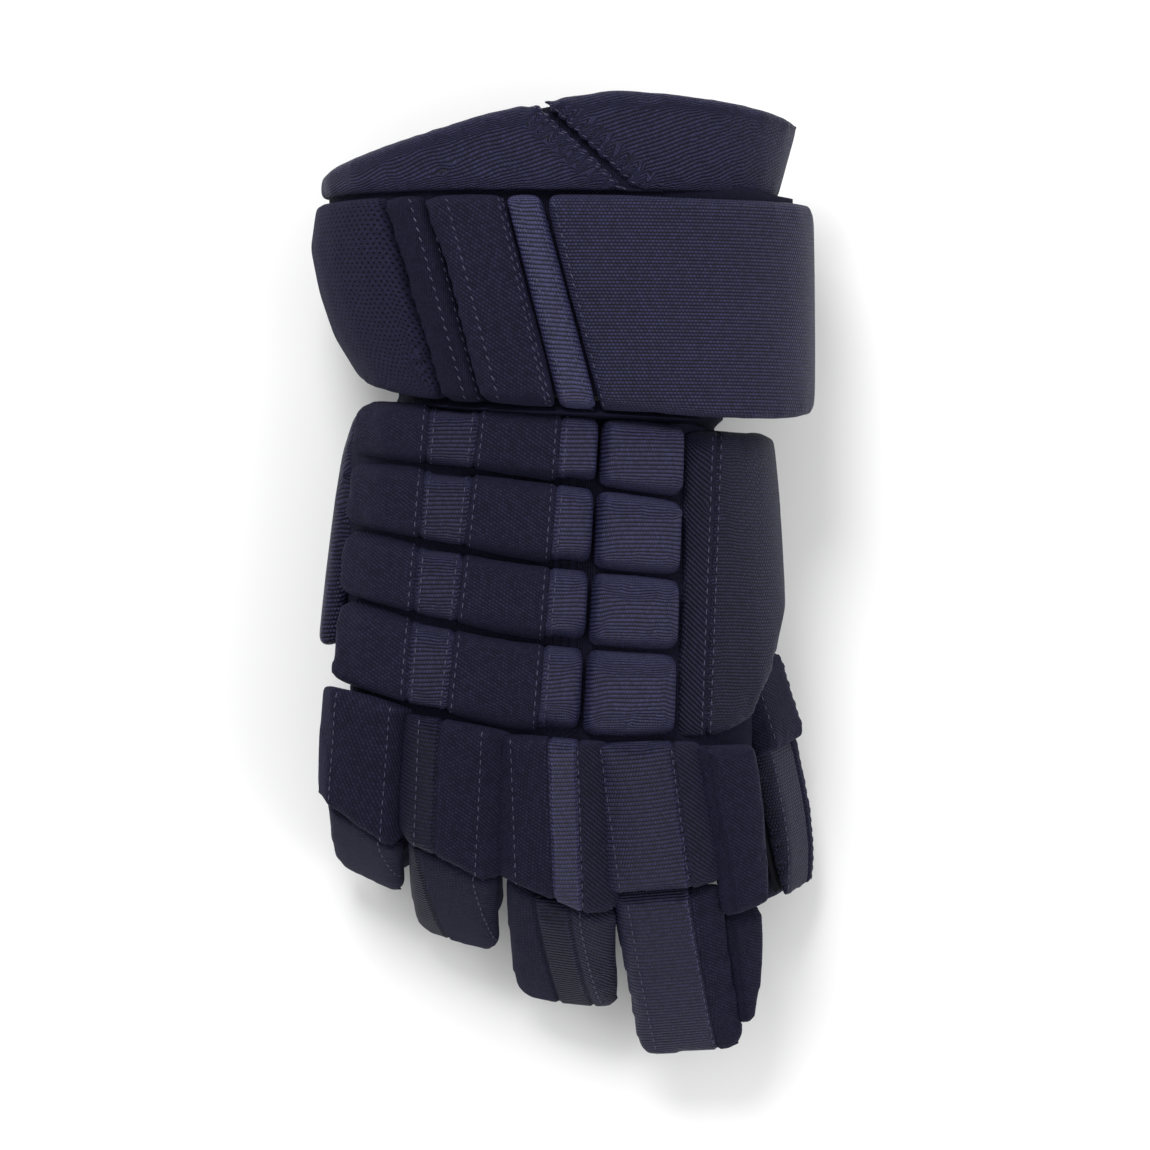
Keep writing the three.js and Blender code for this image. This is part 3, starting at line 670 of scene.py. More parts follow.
def pinch_columns(bm, pad):
    """Draws a roll's long edges in and down where webbing columns cross it."""
    ys = [vertex.co.y for vertex in bm.verts]
    middle, half = (min(ys) + max(ys)) / 2, (max(ys) - min(ys)) / 2
    for vertex in bm.verts:
        near = min(abs((vertex.co - point).dot(normal)) for point, normal in pad.seams)
        edge = smooth_step(near, 0.0, 3 * MM) * smooth_step(abs(vertex.co.y - middle) / half, 0.55, 1.0)
        toward = -1 if vertex.co.y > middle else 1
        if column_of(vertex.co, pad.seams) in pad.pinched:
            vertex.co += Vector((0, toward * 1.4 * MM * edge, -1.6 * MM * edge))
        else:
            vertex.co += Vector((0, -toward * 0.9 * MM * edge, 0))


def collar_seam():
    """The two ends, seen from above, of the leaning seam between the collar's halves."""
    edge = [vertex.co for vertex in NODES[COLLAR_HALVES[0]].data.vertices]
    top, bottom = max(edge, key=lambda co: co.y), max(edge, key=lambda co: co.x - co.y)
    return Vector((top.x, top.y, 0)), Vector((bottom.x, bottom.y, 0))


def gather_cloth(bm):
    """Puckers the cloth beside the collar's seam, where it is drawn up on its thread."""
    wave, reach, deepest, unevenness = 0.75 * MM, 10 * MM, 0.9 * MM, 2.5
    top, bottom = collar_seam()
    way = (bottom - top).normalized()
    bm.normal_update()
    moves = []
    for vertex in bm.verts:
        flat = Vector((vertex.co.x, vertex.co.y, 0)) - top
        along = flat.dot(way)
        away = (flat - way * along).length
        pucker = math.sin(along / wave + unevenness * noise.noise(vertex.co * 90))
        depth = (1 - smooth_step(away, 1 * MM, reach)) * (0.5 - 0.5 * pucker)
        moves.append((vertex, vertex.normal * (-deepest * depth)))
    for vertex, move in moves:
        vertex.co += move


def blank_pad(pad):
    """The pad's block of foam, with its corners rounded off."""
    obj = copy_of(f"{pad.node}_cover", pad.node)
    apply_modifier(obj, "REMESH", mode="VOXEL", voxel_size=sizes().voxel)
    if any(pad.flare + pad.longer):
        edit(obj, lambda bm: spread_foot(bm, pad))
    apply_modifier(obj, "SMOOTH", factor=0.5, iterations=sizes().rounding)
    if pad.pinched:
        edit(obj, lambda bm: pinch_columns(bm, pad))
    return obj


def fill_with_air(made):
    """Crowns the pads by cloth simulation under pressure. No point moves further than its pad's puff."""
    scene = bpy.context.scene
    for _, obj in made:
        modifier = obj.modifiers.new("Filling", "CLOTH")
        for setting, value in FILLING.items():
            setattr(modifier.settings, setting, value)
        modifier.settings.uniform_pressure_force = sizes().pressure
        modifier.settings.effector_weights.gravity = 0.0
        modifier.point_cache.frame_start = 1
        modifier.point_cache.frame_end = FRAMES_OF_FILLING
    for number in range(1, FRAMES_OF_FILLING + 1):
        scene.frame_set(number)
    for pad, obj in made:
        start = [vertex.co.copy() for vertex in obj.data.vertices]
        only(obj)
        bpy.ops.object.modifier_apply(modifier="Filling")
        limit = sizes().puff * pad.puff
        for vertex, origin in zip(obj.data.vertices, start):
            move = vertex.co - origin
            along = pad.wrap.flatten(origin)[4]
            move -= along * (move.dot(along) * 0.7)
            if move.length > limit:
                vertex.co = origin + move * (limit / move.length)
    scene.frame_set(1)


def finish_pad(pad, obj):
    """Sews the channels, lays the cloth on and fixes the pad to its body."""
    apply_modifier(obj, "SUBSURF", levels=1, render_levels=1)
    names = (pad.cloths,) if isinstance(pad.cloths, str) else pad.cloths
    for name in names:
        obj.data.materials.append(cloth(name))

    def sew(bm):
        for point, normal in pad.seams:
            cut_channel(bm, point, normal, sizes().seam_depth, sizes().seam_width)
        if pad.gathered:
            gather_cloth(bm)
        rest_on_floor(bm)
        if len(names) > 1:
            for face in bm.faces:
                face.material_index = column_of(face.calc_center_median(), pad.seams)
        lay_cloth(bm, pad.wrap.flatten)

    edit(obj, sew)
    only(obj)
    bpy.ops.object.shade_smooth()
    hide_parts(pad.node)
    slot_of(pad.node)
    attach(obj, pad.body)
    return obj


def slot_of(node):
    """The record's material slot of a frame node."""
    for part in frame["record"]["subparts"]:
        if part.get("node") == node:
            return part["material_slot"]
    raise RuntimeError(f"{node} has no material slot")


def make_pads(pads):
    """Blanks, fills and finishes pads, and gives them by their node's name."""
    made = [(pad, blank_pad(pad)) for pad in pads]
    fill_with_air(made)
    return {pad.node: finish_pad(pad, obj) for pad, obj in made}


def upright_seam(x, lean, y):
    """A seam plane that stands on the back of the glove through x at y, leaning by so much x for each y."""
    normal = Vector((1.0, -lean, 0.0)).normalized()
    return Vector((x, y, 0.0)), normal


# ---- The pieces -----------------------------------------------------------------------------

# Where the webbing columns cross the rolls: their edges as shares of the first and the last roll's width.
COLUMN_EDGES = ((0.316, 0.319), (0.508, 0.481), (0.843, 0.839))


def roll_seams():
    first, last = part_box("roll_1"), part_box("roll_4")
    top, bottom = (first[0].y + first[1].y) / 2, (last[0].y + last[1].y) / 2
    seams = []
    for at_wrist, at_knuckle in COLUMN_EDGES:
        x0 = first[0].x + at_wrist * (first[1].x - first[0].x)
        x1 = last[0].x + at_knuckle * (last[1].x - last[0].x)
        seams.append(upright_seam(x0, (x0 - x1) / (top - bottom), top))
    return seams


class GLOVE_OT_back_rolls(Operator):
    """The four padded rolls over the back of the hand and the block beside each"""

    bl_idname = "glove.back_rolls"
    bl_label = "Back rolls"

    def execute(self, context):
        seams = roll_seams()
        columns = ("matte", "webbing_soft", "matte", "webbing")
        pads = [Pad(f"roll_{row}", "hand", HAND, columns, seams, puff=1.7, pinched=(1, 3)) for row in ROWS]
        pads += [Pad(f"roll_{row}_side", "hand", HAND, "webbing", puff=1.7) for row in ROWS]
        make_pads(pads)
        return {"FINISHED"}


def ridge_seam():
    """The seam along the ridge of the broad guard."""
    low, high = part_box("radial_panel")
    return upright_seam(low.x + 15.8 * MM, 0.038, (low.y + high.y) / 2)


class GLOVE_OT_hand_guards(Operator):
    """The broad guard over the root of the thumb and the narrow one on the little-finger edge"""

    bl_idname = "glove.hand_guards"
    bl_label = "Hand guards"

    def execute(self, context):
        make_pads([
            Pad("radial_panel", "hand", HAND, ("flank", "guard"), (ridge_seam(),), puff=0.9),
            Pad("ulnar_panel", "hand", HAND, "webbing_soft", puff=0.7),
        ])
        return {"FINISHED"}


class GLOVE_OT_cuff_pads(Operator):
    """The five panels of the cuff, the two halves of its collar and the band across its palm side"""

    bl_idname = "glove.cuff_pads"
    bl_label = "Cuff pads"

    def execute(self, context):
        make_pads([
            Pad("cuff_outer_pad", "cuff", CUFF, "pierced"),
            Pad("cuff_stretch_strip", "cuff", CUFF, "knit", puff=0.7),
            Pad("cuff_centre_pad", "cuff", CUFF, "matte"),
            Pad("cuff_webbing_strip", "cuff", CUFF, "webbing_strip", puff=0.7),
            Pad("cuff_thumb_pad", "cuff", CUFF, "ballistic", puff=1.2),
            Pad("collar_outer_half", "cuff", CUFF, "twill", puff=1.2, gathered=True),
            Pad("collar_thumb_half", "cuff", CUFF, "twill", puff=1.2, gathered=True),
            Pad("cuff_palm_band", "cuff", CUFF, "leather", puff=0.6),
        ])
        return {"FINISHED"}


def digit_seam(body, x):
    """A seam plane along a finger, at x across it."""
    place = DIGIT_FRAMES[body]
    axes = place.place.to_3x3()
    return place.place @ Vector((x, 0, 0)), axes.col[0].copy()


class GLOVE_OT_digit_pads(Operator):
    """The pads over the fingers and the thumb, with the index finger's guards"""

    bl_idname = "glove.digit_pads"
    bl_label = "Finger and thumb pads"

    def execute(self, context):
        def pad(body, cloths, *seams, node=None, **more):
            at = tuple(digit_seam(body, x) for x in seams)
            return Pad(node or f"{body}_pad", body, DIGIT_FRAMES[body], cloths, at, **more)

        slim, wide, broad, end = 4 * MM, 7 * MM, 9 * MM, 14 * MM
        make_pads([
            pad("pinky_base", "matte_steep", flare=(slim, slim)),
            pad("pinky_tip", "matte", flare=(slim, slim), rounded=end),
            pad("ring_base", ("webbing_dark", "matte"), -0.004, flare=(slim, wide)),
            pad("ring_tip", ("webbing_dark", "matte"), -0.004, flare=(slim / 2, slim), rounded=end),
            pad("middle_base", ("matte", "webbing", "flank"), 0.0015, 0.0115, flare=(wide, broad)),
            pad("middle_tip", ("matte", "webbing_dark", "flank"), 0.0, 0.0125, flare=(slim, broad), rounded=end),
            pad("index_base", ("webbing_soft", "flank"), 0.0125, flare=(wide, broad)),
            pad("index_tip", ("webbing_soft", "matte"), 0.0115, flare=(slim, broad), rounded=0.6 * end),
            pad("index_base", "matte", node="index_base_guard"),
            pad("index_tip", "matte", node="index_tip_guard"),
            pad("thumb_base", "matte", longer=(4 * MM, 0.0)),
            pad("thumb_tip", ("guard", "matte"), 0.006, longer=(0.0, 3 * MM)),
        ])
        return {"FINISHED"}


# ---- Leather, lining and gussets ------------------------------------------------------------


def soft_sheet(name, node, body, fabric, wrap, crease, levels=2, grain=150.0):
    """A thin sewn piece: a frame node's walls made smooth, with soft creases so deep across it."""
    obj = copy_of(name, node)

    def quads(bm):
        bmesh.ops.join_triangles(
            bm, faces=bm.faces[:], angle_face_threshold=math.radians(45), angle_shape_threshold=math.radians(70)
        )
        sharp = bm.edges.layers.float.get("crease_edge") or bm.edges.layers.float.new("crease_edge")
        sharp_angle, hold = math.radians(55), 0.75
        for edge in bm.edges:
            if edge.calc_face_angle(0.0) > sharp_angle:
                edge[sharp] = hold

    edit(obj, quads)
    apply_modifier(obj, "SUBSURF", levels=levels, render_levels=levels)

    def finish(bm):
        bm.normal_update()
        for vertex in bm.verts:
            _, along, _, _, _ = wrap.flatten(vertex.co)
            at = Vector((vertex.co.x * grain * 0.4, along * grain, vertex.co.z * grain * 0.4))
            vertex.co += vertex.normal * (noise.noise(at) * crease)
        rest_on_floor(bm)
        lay_cloth(bm, wrap.flatten)

    edit(obj, finish)
    obj.data.materials.append(cloth(fabric))
    only(obj)
    bpy.ops.object.shade_smooth_by_angle(angle=math.radians(60))
    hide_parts(node)
    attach(obj, body)


def tube(name, rings, fabric, wrap, thickness, closed=True):
    """A sleeve of fabric through closed rings of points, or a sheet through open rows."""
    bm = bmesh.new()
    rows = [[bm.verts.new(point) for point in ring] for ring in rings]
    for near, far in zip(rows, rows[1:]):
        for i in range(len(near) if closed else len(near) - 1):
            j = (i + 1) % len(near)
            bm.faces.new((near[i], near[j], far[j], far[i]))
    mesh = bpy.data.meshes.new(name)
    bmesh.ops.recalc_face_normals(bm, faces=bm.faces[:])
    bm.to_mesh(mesh)
    bm.free()
    obj = add_object(name, mesh)
    apply_modifier(obj, "SOLIDIFY", thickness=thickness, offset=-1.0)

    def finish(bm):
        bmesh.ops.recalc_face_normals(bm, faces=bm.faces[:])
        lay_cloth(bm, wrap.flatten)

    edit(obj, finish)
    obj.data.materials.append(cloth(fabric))
    only(obj)
    bpy.ops.object.shade_smooth_by_angle(angle=math.radians(60))
    return obj


def digit_gusset(parent, body):
    """The brushed sleeve between two lengths: it bulges in their gap and turns from the one length's direction to
    the other's.
    """
    place = DIGIT_FRAMES[body]
    hinge = place.place.translation
    side, near, out = (place.place.to_3x3().col[i] for i in range(3))
    axis = Vector(JOINTS[body]["axis"]).normalized()
    if parent == "hand":
        far = Vector((0, 1, 0))
        normal = axis.cross(Vector((0, 0, -1))).normalized()
        normal = normal if normal.y > 0 else -normal
    else:
        far = DIGIT_FRAMES[parent].place.to_3x3().col[1]
        normal = (near + far).normalized()
    half, high = place.half, place.height
    fold = 0.15 if parent == "hand" else 0.07
    reach, around, along = 7 * MM, 40, 13
    rings = []
    for step in range(along):
        t = reach * (2 * step / (along - 1) - 1)
        swell = 0.93 + fold * (1 - (t / reach) ** 2) + 0.012 * math.cos(t / reach * 3 * math.pi)
        ring = []
        for i in range(around):
            angle = 2 * math.pi * i / around
            c, s = math.cos(angle), math.sin(angle)
            x = squared(c, 0.62) * half * swell
            z = high / 2 + squared(s, 0.62) * high / 2 * swell
            flat = hinge + side * x + out * z
            on = flat - near * ((flat - hinge).dot(normal) / near.dot(normal))
            way = far if t > 0 else near
            ring.append(on + way * (t / way.dot(normal)))
        rings.append(ring)
    obj = tube(f"{body}_gusset", rings, "lining", place, 0.7 * MM)
    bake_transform(obj)


def thumb_root():
    """The leather mound between the thumb's base stall and the palm, tucked under the broad guard."""
    place = DIGIT_FRAMES["thumb_base"]
    hinge = place.place.translation
    side, back, out = (place.place.to_3x3().col[i] for i in range(3))
    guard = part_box("radial_panel")
    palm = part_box("palm_panel")
    mouth = hinge + out * (place.height / 2)
    far = Vector((guard[0].x + 19 * MM, palm[1].y - 22 * MM, guard[0].z - 4 * MM))
    flat_side = Vector((side.x, 0, side.z)).normalized()
    flat_out = Vector((out.x, 0, out.z))
    flat_out = (flat_out - flat_side * flat_out.dot(flat_side)).normalized()
    around, along, tucked = 44, 26, 0.12
    rings = []
    for step in range(along):
        t = step / (along - 1)
        ring = []
        for i in range(around):
            angle = 2 * math.pi * i / around
            c, s = math.cos(angle), math.sin(angle)
            x, z = squared(c, 0.7), squared(s, 0.7)
            start = mouth + side * (x * place.half) + out * (z * place.height / 2)
            end = far + flat_side * (x * 19 * MM) + flat_out * (z * 10 * MM)
            if t < tucked:
                point = start - back * ((tucked - t) / tucked * 5 * MM)
                point = mouth + (point - mouth) * (0.93 + 0.07 * t / tucked)
            else:
                onward = (t - tucked) / (1 - tucked)
                point = start.lerp(end, onward)
                middle = mouth.lerp(far, onward)
                swell = 0.22 * math.sin(math.pi * min(onward * 1.25, 1.0))
                closing = 0.8 * smooth_step(onward, 0.82, 1.0)
                point = middle + (point - middle) * (1 + swell - closing)
                point += (point - middle).normalized() * (noise.noise(point * 90) * 1.2 * MM)
            point.z = max(point.z, 0.3 * MM)
            ring.append(point)
        rings.append(ring)
    obj = tube("thumb_root_leather", rings, "leather", place, 1.0 * MM)
    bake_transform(obj)


def reach_by_angle(nodes, count, pick):
    """For each of count angles round the hand, an extreme of these nodes there: pick gives the better of two."""
    found = [None] * count
    for node in nodes:
        for vertex in NODES[node].data.vertices:
            sector = int(HAND.angle(vertex.co) / (2 * math.pi) * count) % count
            for near in (sector - 1, sector, (sector + 1) % count):
                found[near] = vertex.co if found[near] is None else pick(found[near], vertex.co)
    known = [i for i, value in enumerate(found) if value is not None]
    return [found[min(known, key=lambda k: min(abs(k - i), count - abs(k - i)))] for i in range(count)]


def smoothed(values, passes=3):
    for _ in range(passes):
        values = [
            (values[i - 1] + 2 * values[i] + values[(i + 1) % len(values)]) / 4 for i in range(len(values))
        ]
    return values


def wrist_gusset():
    """The sleeve from the hand to the cuff. On the back a fold of cover fabric fills the gap between the pads."""
    count, steps = 48, 17
    fold_height, fold_width = 13.0 * MM, 0.085
    hand_end = reach_by_angle(("hand_liner",), count, lambda a, b: a if a.y > b.y else b)
    cuff_end = reach_by_angle(("cuff_liner",), count, lambda a, b: a if a.y < b.y else b)
    hand_y = smoothed([point.y for point in hand_end])
    cuff_y = smoothed([point.y for point in cuff_end])
    axis = Vector((0, 0, AXIS_HEIGHT))

    def radius(points):
        return smoothed([(Vector((point.x, 0, point.z)) - axis).length for point in points])

    hand_r, cuff_r = radius(hand_end), radius(cuff_end)
    rings = []
    for step in range(steps):
        t = step / (steps - 1)
        ring = []
        for i in range(count):
            angle = 2 * math.pi * (i + 0.5) / count
            way = (HAND.at(angle) - axis).normalized()
            fold = smooth_step(math.sin(angle), 0.45, 0.85)
            start, end = hand_y[i] - 7 * MM, cuff_y[i] + 7 * MM
            r = hand_r[i] + (cuff_r[i] - hand_r[i]) * smooth_step(t, 0.2, 0.8) + 0.4 * MM
            bulge = math.exp(-(((t - 0.5) / fold_width) ** 2))
            slack = 1.6 * MM * math.sin(math.pi * t) * (1 - fold)
            r += fold * fold_height * bulge + slack + 0.5 * MM * math.sin(9 * math.pi * t) * (1 - fold)
            ring.append(axis + way * r + Vector((0, start + (end - start) * t, 0)))
        rings.append(ring)
    obj = tube("wrist_gusset", rings, "matte", HAND, 0.9 * MM)
    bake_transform(obj)


def base_cloth(name, body, oval, low, high, inset, sectors, margins, rise=0.0, fall=0.0):
    """The dark knit under a set of pads, which shows in the gaps between them.

    It runs from the low nodes to the high ones, over these sectors of 5 degrees. Margins lengthen its two
    edges, and rise and fall draw the edges in again at its sides.
    """
    count = 72
    near = reach_by_angle(low, count, lambda a, b: a if a.y < b.y else b)
    far = reach_by_angle(high, count, lambda a, b: a if a.y > b.y else b)
    near_y, far_y = smoothed([p.y for p in near], 1), smoothed([p.y for p in far], 1)
    axis = Vector((oval.centre[0], 0, oval.centre[1]))
    rows = []
    for step in range(13):
        row = []
        for i in range(*sectors):
            angle = 2 * math.pi * (i + 0.5) / count
            rim = oval.at(angle) - axis
            deep = inset * (0.55 + 0.45 * max(math.sin(angle), 0.0))
            start, end = near_y[i % count] - margins[0], far_y[i % count] + margins[1]
            beside = smooth_step(abs(math.cos(angle)), 0.6, 0.97)
            start, end = start + rise * beside, end - fall * beside
            row.append(axis + rim * (1 - deep / rim.length) + Vector((0, start + (end - start) * step / 12, 0)))
        rows.append(row)
    obj = tube(name, rows, "knit", oval, 0.8 * MM, closed=False)
    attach(obj, body)


class GLOVE_OT_leather(Operator):
    """The leather stalls of the fingers and the thumb, the palm and its patch"""

    bl_idname = "glove.leather"
    bl_label = "Stalls and palm"

    def execute(self, context):
        for body, place in DIGIT_FRAMES.items():
            soft_sheet(f"{body}_sleeve", f"{body}_stall", body, "leather", place, levels=3, crease=0.7 * MM)
        soft_sheet("palm_leather", "palm_panel", "hand", "leather", HAND, levels=3, crease=0.9 * MM, grain=90.0)
        soft_sheet("palm_patch_leather", "palm_patch", "hand", "patch", HAND, levels=3, crease=0.4 * MM)
        return {"FINISHED"}


class GLOVE_OT_linings(Operator):
    """The knit under the rolls and the brushed linings of the hand and the cuff"""

    bl_idname = "glove.linings"
    bl_label = "Linings"

    def execute(self, context):
        soft_sheet("back_knit", "back_base_layer", "hand", "knit", HAND, crease=0.3 * MM)
        soft_sheet("hand_lining", "hand_liner", "hand", "lining", HAND, crease=0.5 * MM, grain=80.0)
        soft_sheet("cuff_lining", "cuff_liner", "cuff", "lining", CUFF, crease=0.6 * MM, grain=70.0)
        return {"FINISHED"}


class GLOVE_OT_gussets(Operator):
    """The sleeves that cross the joints of the wrist, the fingers and the thumb"""

    bl_idname = "glove.gussets"
    bl_label = "Gussets"

    def execute(self, context):
        for digit in DIGITS:
            if digit != "thumb":
                digit_gusset("hand", f"{digit}_base")
            digit_gusset(f"{digit}_base", f"{digit}_tip")
        thumb_root()
        wrist_gusset()
        base_cloth(
            "hand_base_cloth", "hand", HAND, ("roll_4",), ("roll_1",),
            inset=12.5 * MM, sectors=(4, 41), margins=(5 * MM, -2 * MM), fall=12 * MM,
        )
        base_cloth(
            "collar_base_cloth", "cuff", CUFF, COLLAR_HALVES, COLLAR_HALVES,
            inset=9 * MM, sectors=(13, 21), margins=(0.0, -5 * MM),
        )
        base_cloth(
            "cuff_base_cloth", "cuff", CUFF, CUFF_PANELS, CUFF_PANELS,
            inset=11 * MM, sectors=(1, 36), margins=(-6 * MM, 6 * MM), rise=34 * MM, fall=5 * MM,
        )
        return {"FINISHED"}


class GLOVE_OT_plates(Operator):
    """The stiffening plates, which keep the frame's own shape"""

    bl_idname = "glove.plates"
    bl_label = "Plates"

    def execute(self, context):
        for node, obj in NODES.items():
            if node.endswith("_plate") or node == "cuff_board":
                for slot in obj.material_slots:
                    slot.material = cloth("plate")
        return {"FINISHED"}


# ---- Stitching ------------------------------------------------------------------------------


STITCH_LIFT = 0.06 * MM
STITCH_REACH = 12 * MM
RAY_START = 0.2


class Thread:
    """Rows of stitches laid on finished pieces. One stitch is modelled once and copied along each row."""

    def __init__(self, name, body):
        self.name, self.body = name, body
        self.bm = bmesh.new()
        size = sizes()
        bpy.ops.object.select_all(action="DESELECT")
        bpy.ops.mesh.primitive_uv_sphere_add(segments=6, ring_count=5, radius=0.5)
        self.master = bpy.context.object
        bpy.ops.object.mode_set(mode="EDIT")
        bpy.ops.mesh.select_all(action="SELECT")
        bpy.ops.transform.resize(value=(size.stitch, size.thread * 1.25, size.thread))
        bpy.ops.object.mode_set(mode="OBJECT")

    def row(self, surface, points, slant=0.0):
        """Sews along points, each moved to the nearest place on the surface."""
        size = sizes()
        pitch = size.stitch + size.stitch_gap
        travelled, due = 0.0, pitch / 2
        for a, b in zip(points, points[1:]):
            step = (b - a).length
            while due < travelled + step:
                at = a.lerp(b, (due - travelled) / step)
                due += pitch
                place, normal, _, _ = surface.find_nearest(at, STITCH_REACH)
                if place is None:
                    continue
                way = (b - a) - normal * (b - a).dot(normal)
                if way.length < 0.1 * (b - a).length:
                    continue
                way.normalize()
                across = normal.cross(way)
                turned = way * math.cos(slant) + across * math.sin(slant)
                spin = Matrix((turned, normal.cross(turned), normal)).transposed().to_4x4()
                spin.translation = place + normal * STITCH_LIFT
                first = len(self.bm.verts)
                self.bm.from_mesh(self.master.data)
                self.bm.verts.ensure_lookup_table()
                bmesh.ops.transform(self.bm, matrix=spin, verts=self.bm.verts[first:])
            travelled += step

    def finish(self):
        bpy.data.objects.remove(self.master)
        mesh = bpy.data.meshes.new(self.name)
        self.bm.to_mesh(mesh)
        self.bm.free()
        obj = add_object(self.name, mesh)
        mesh.materials.append(cloth("thread"))
        only(obj)
        bpy.ops.object.shade_smooth()
        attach(obj, self.body)


def surface_of(*names):
    """The joined surface of finished pieces, for stitches to lie on."""
    bm = bmesh.new()
    for name in names:
        bm.from_mesh(bpy.data.objects[name].data)
    tree = BVHTree.FromBMesh(bm)
    bm.free()
    return tree


def line(a, b, count):
    return [a.lerp(b, i / count) for i in range(count + 1)]


def dropped(surface, points, way=Vector((0, 0, -1))):
    """Points moved along a direction until they meet the surface; those that miss are left out."""
    found = [surface.ray_cast(point - way * RAY_START, way) for point in points]
    return [hit[0] for hit in found if hit[0] is not None]


def rows_beside(thread, node, seam, sides):
    """Sews a row on each side of a seam plane, down the whole of a pad."""
    surface = surface_of(f"{node}_cover")
    low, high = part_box(node)
    point, normal = seam
    lean = Vector((-normal.y, normal.x, 0)) / normal.x
    for side in sides:
        start = point + normal * side
        ends = [start + lean * (y - start.y) for y in (high.y, low.y)]
        thread.row(surface, dropped(surface, line(*ends, 60)))


def patch_stitches(thread):
    """A row round the palm patch, inside its edge."""
    surface = surface_of("palm_patch_leather")
    low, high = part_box("palm_patch")
    inset = 3 * MM
    left, right, bottom, top = low.x + inset, high.x - inset, low.y + inset, high.y - inset
    corners = [Vector((x, y, low.z)) for x, y in ((left, bottom), (right, bottom), (right, top), (left, top))]
    for a, b in zip(corners, corners[1:] + corners[:1]):
        thread.row(surface, dropped(surface, line(a, b, 60), Vector((0, 0, 1))))


class GLOVE_OT_stitching(Operator):
    """The rows of stitches beside the seams of the back, the cuff, the digits and the palm"""

    bl_idname = "glove.stitching"
    bl_label = "Stitching"

    def execute(self, context):
        beside = sizes().seam_width + 0.7 * MM
        hand = Thread("hand_stitches", "hand")
        for row in ROWS:
            for seam in roll_seams():
                rows_beside(hand, f"roll_{row}", seam, (-beside, beside))
        rows_beside(hand, "radial_panel", ridge_seam(), (-beside, beside * 0.6))
        patch_stitches(hand)
        hand.finish()
        cuff_stitches()
        for body, place in DIGIT_FRAMES.items():
            digit_stitches(body, place)
        return {"FINISHED"}


def cuff_stitches():
    """Rows beside the cuff's four seams, the collar's seam and the edges of the palm band."""
    cuff = Thread("cuff_stitches", "cuff")
    first, second, beyond = -2.2 * MM, -3.6 * MM, 3.4 * MM
    for left, right in zip(CUFF_PANELS, CUFF_PANELS[1:]):
        near = [v.co for v in NODES[left].data.vertices]
        top = max(near, key=lambda co: co.x + 0.9 * co.y)
        bottom = max(near, key=lambda co: co.x - 0.9 * co.y)
        rows = ((left, first), (left, second), (right, beyond))
        if left == "cuff_webbing_strip":
            rows = ((left, first), (right, beyond))
        for piece, offset in rows:
            surface = surface_of(f"{piece}_cover")
            shift = Vector((offset, 0, 0))
            path = line(Vector((top.x, top.y, 0)) + shift, Vector((bottom.x, bottom.y, 0)) + shift, 60)
            cuff.row(surface, dropped(surface, path), slant=math.radians(20))
    outer, thumb = (surface_of(f"{half}_cover") for half in COLLAR_HALVES)
    top, bottom = collar_seam()
    for surface, offset in ((outer, -2.5 * MM), (outer, -4.0 * MM), (thumb, 3.0 * MM)):
        shift = Vector((offset, 0, 0))
        cuff.row(surface, dropped(surface, line(top + shift, bottom + shift, 60)), slant=math.radians(25))
    band = surface_of("cuff_palm_band_cover")
    low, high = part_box("cuff_palm_band")
    for y in (low.y + 4 * MM, high.y - 4 * MM):
        path = line(Vector((low.x, y, 0)), Vector((high.x, y, 0)), 80)
        cuff.row(band, dropped(band, path, Vector((0, 0, 1))))
    cuff.finish()


def digit_stitches(body, place):
    """A row along each upper edge of a digit's pad."""
    thread = Thread(f"{body}_stitches", body)
    surface = surface_of(f"{body}_pad_cover")
    pad = [place.inside @ v.co for v in NODES[f"{body}_pad"].data.vertices]
    low_y, high_y = min(co.y for co in pad), max(co.y for co in pad)
    aside = max(co.x for co in pad) - 5.2 * MM
    out = place.place.to_3x3().col[2]
    for x in (-aside, aside):
        ends = [place.place @ Vector((x, y, place.top)) for y in (low_y, high_y)]
        thread.row(surface, dropped(surface, line(*ends, 50), -out))
    thread.finish()


BACK_BELOW_TOP = 14.6 * MM  # from the glove's highest point down to the back, where view_width is measured


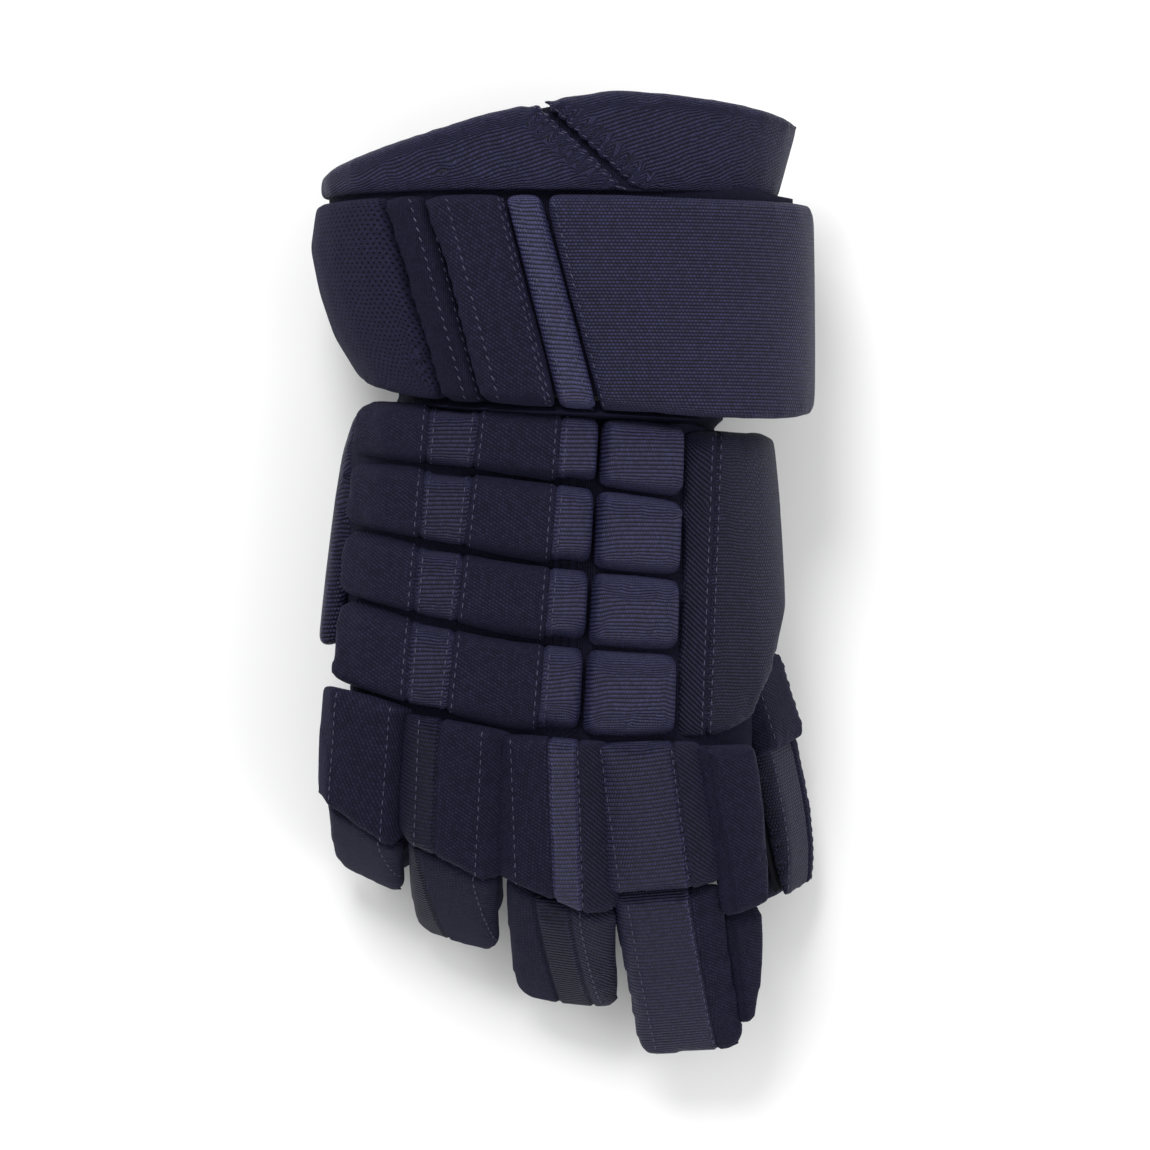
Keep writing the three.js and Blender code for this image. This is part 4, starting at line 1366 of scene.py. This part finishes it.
class GLOVE_OT_stage(Operator):
    """The pale floor, the soft lights and the camera over the glove"""

    bl_idname = "glove.stage"
    bl_label = "Stage"

    def execute(self, context):
        stage = context.scene.glove_stage
        bpy.ops.object.select_all(action="DESELECT")
        bpy.ops.mesh.primitive_plane_add(size=6.0, location=(0, 0, -0.0005))
        floor = context.object
        floor.name = "Floor"
        graph = Graph("Pale_floor", roughness=0.9, specular=0.1)
        speckle = graph.math("MULTIPLY_ADD", graph.noise(graph.solid(1.0), 3.0), 0.02, 0.98)
        graph.put(graph.shader.inputs["Base Color"], graph.scale(tuple(stage.floor), speckle))
        floor.data.materials.append(graph.material)

        def area(name, place, target, size, power):
            light = bpy.data.lights.new(name, "AREA")
            light.shape = "DISK"
            light.size = size
            light.energy = power
            obj = add_object(name, light)
            obj.location = place
            obj.rotation_euler = (Vector(target) - Vector(place)).to_track_quat("-Z", "Y").to_euler()

        area("Key", (-0.35, 1.05, 1.35), (0, 0.03, 0.05), 0.7, stage.key_power)
        area("Fill", (0.9, -0.2, 1.3), (0, -0.05, 0.05), 1.0, stage.fill_power)
        world = bpy.data.worlds.new("Even_light")
        context.scene.world = world
        world.use_nodes = True
        background = world.node_tree.nodes["Background"]
        background.inputs["Color"].default_value = (1.0, 1.0, 1.0, 1.0)
        background.inputs["Strength"].default_value = stage.sky

        camera = bpy.data.cameras.new("Camera")
        camera.sensor_width = 36.0
        back_height = FRAME_BOX[1].z - BACK_BELOW_TOP
        camera.lens = camera.sensor_width * (stage.camera_height - back_height) / stage.view_width
        camera.clip_start = 0.05
        holder = add_object("Camera", camera)
        holder.location = (stage.camera_x, stage.camera_y, stage.camera_height)
        context.scene.camera = holder
        context.scene.view_settings.view_transform = "Standard"
        return {"FINISHED"}


PIECES = (
    GLOVE_OT_back_rolls,
    GLOVE_OT_hand_guards,
    GLOVE_OT_cuff_pads,
    GLOVE_OT_digit_pads,
    GLOVE_OT_leather,
    GLOVE_OT_linings,
    GLOVE_OT_gussets,
    GLOVE_OT_plates,
    GLOVE_OT_stitching,
    GLOVE_OT_stage,
)


class GLOVE_PT_panel(Panel):
    """Lists the glove's sizes, colours and pieces"""

    bl_idname = "GLOVE_PT_panel"
    bl_label = "Hockey glove"
    bl_space_type = "VIEW_3D"
    bl_region_type = "UI"
    bl_category = "Glove"

    def draw(self, context):
        for group in (context.scene.glove_sizes, context.scene.glove_colours, context.scene.glove_stage):
            box = self.layout.box()
            for name in group.__annotations__:
                box.prop(group, name)
        for piece in PIECES:
            self.layout.operator(piece.bl_idname)


CLASSES = (GloveSizes, GloveColours, GloveStage) + PIECES + (GLOVE_PT_panel,)


def register():
    for kind in CLASSES:
        bpy.utils.register_class(kind)
    bpy.types.Scene.glove_sizes = PointerProperty(type=GloveSizes)
    bpy.types.Scene.glove_colours = PointerProperty(type=GloveColours)
    bpy.types.Scene.glove_stage = PointerProperty(type=GloveStage)


def unregister():
    del bpy.types.Scene.glove_sizes
    del bpy.types.Scene.glove_colours
    del bpy.types.Scene.glove_stage
    for kind in reversed(CLASSES):
        bpy.utils.unregister_class(kind)


def main():
    register()
    for piece in PIECES:
        group, name = piece.bl_idname.split(".")
        getattr(getattr(bpy.ops, group), name)()


if __name__ == "__main__":
    main()
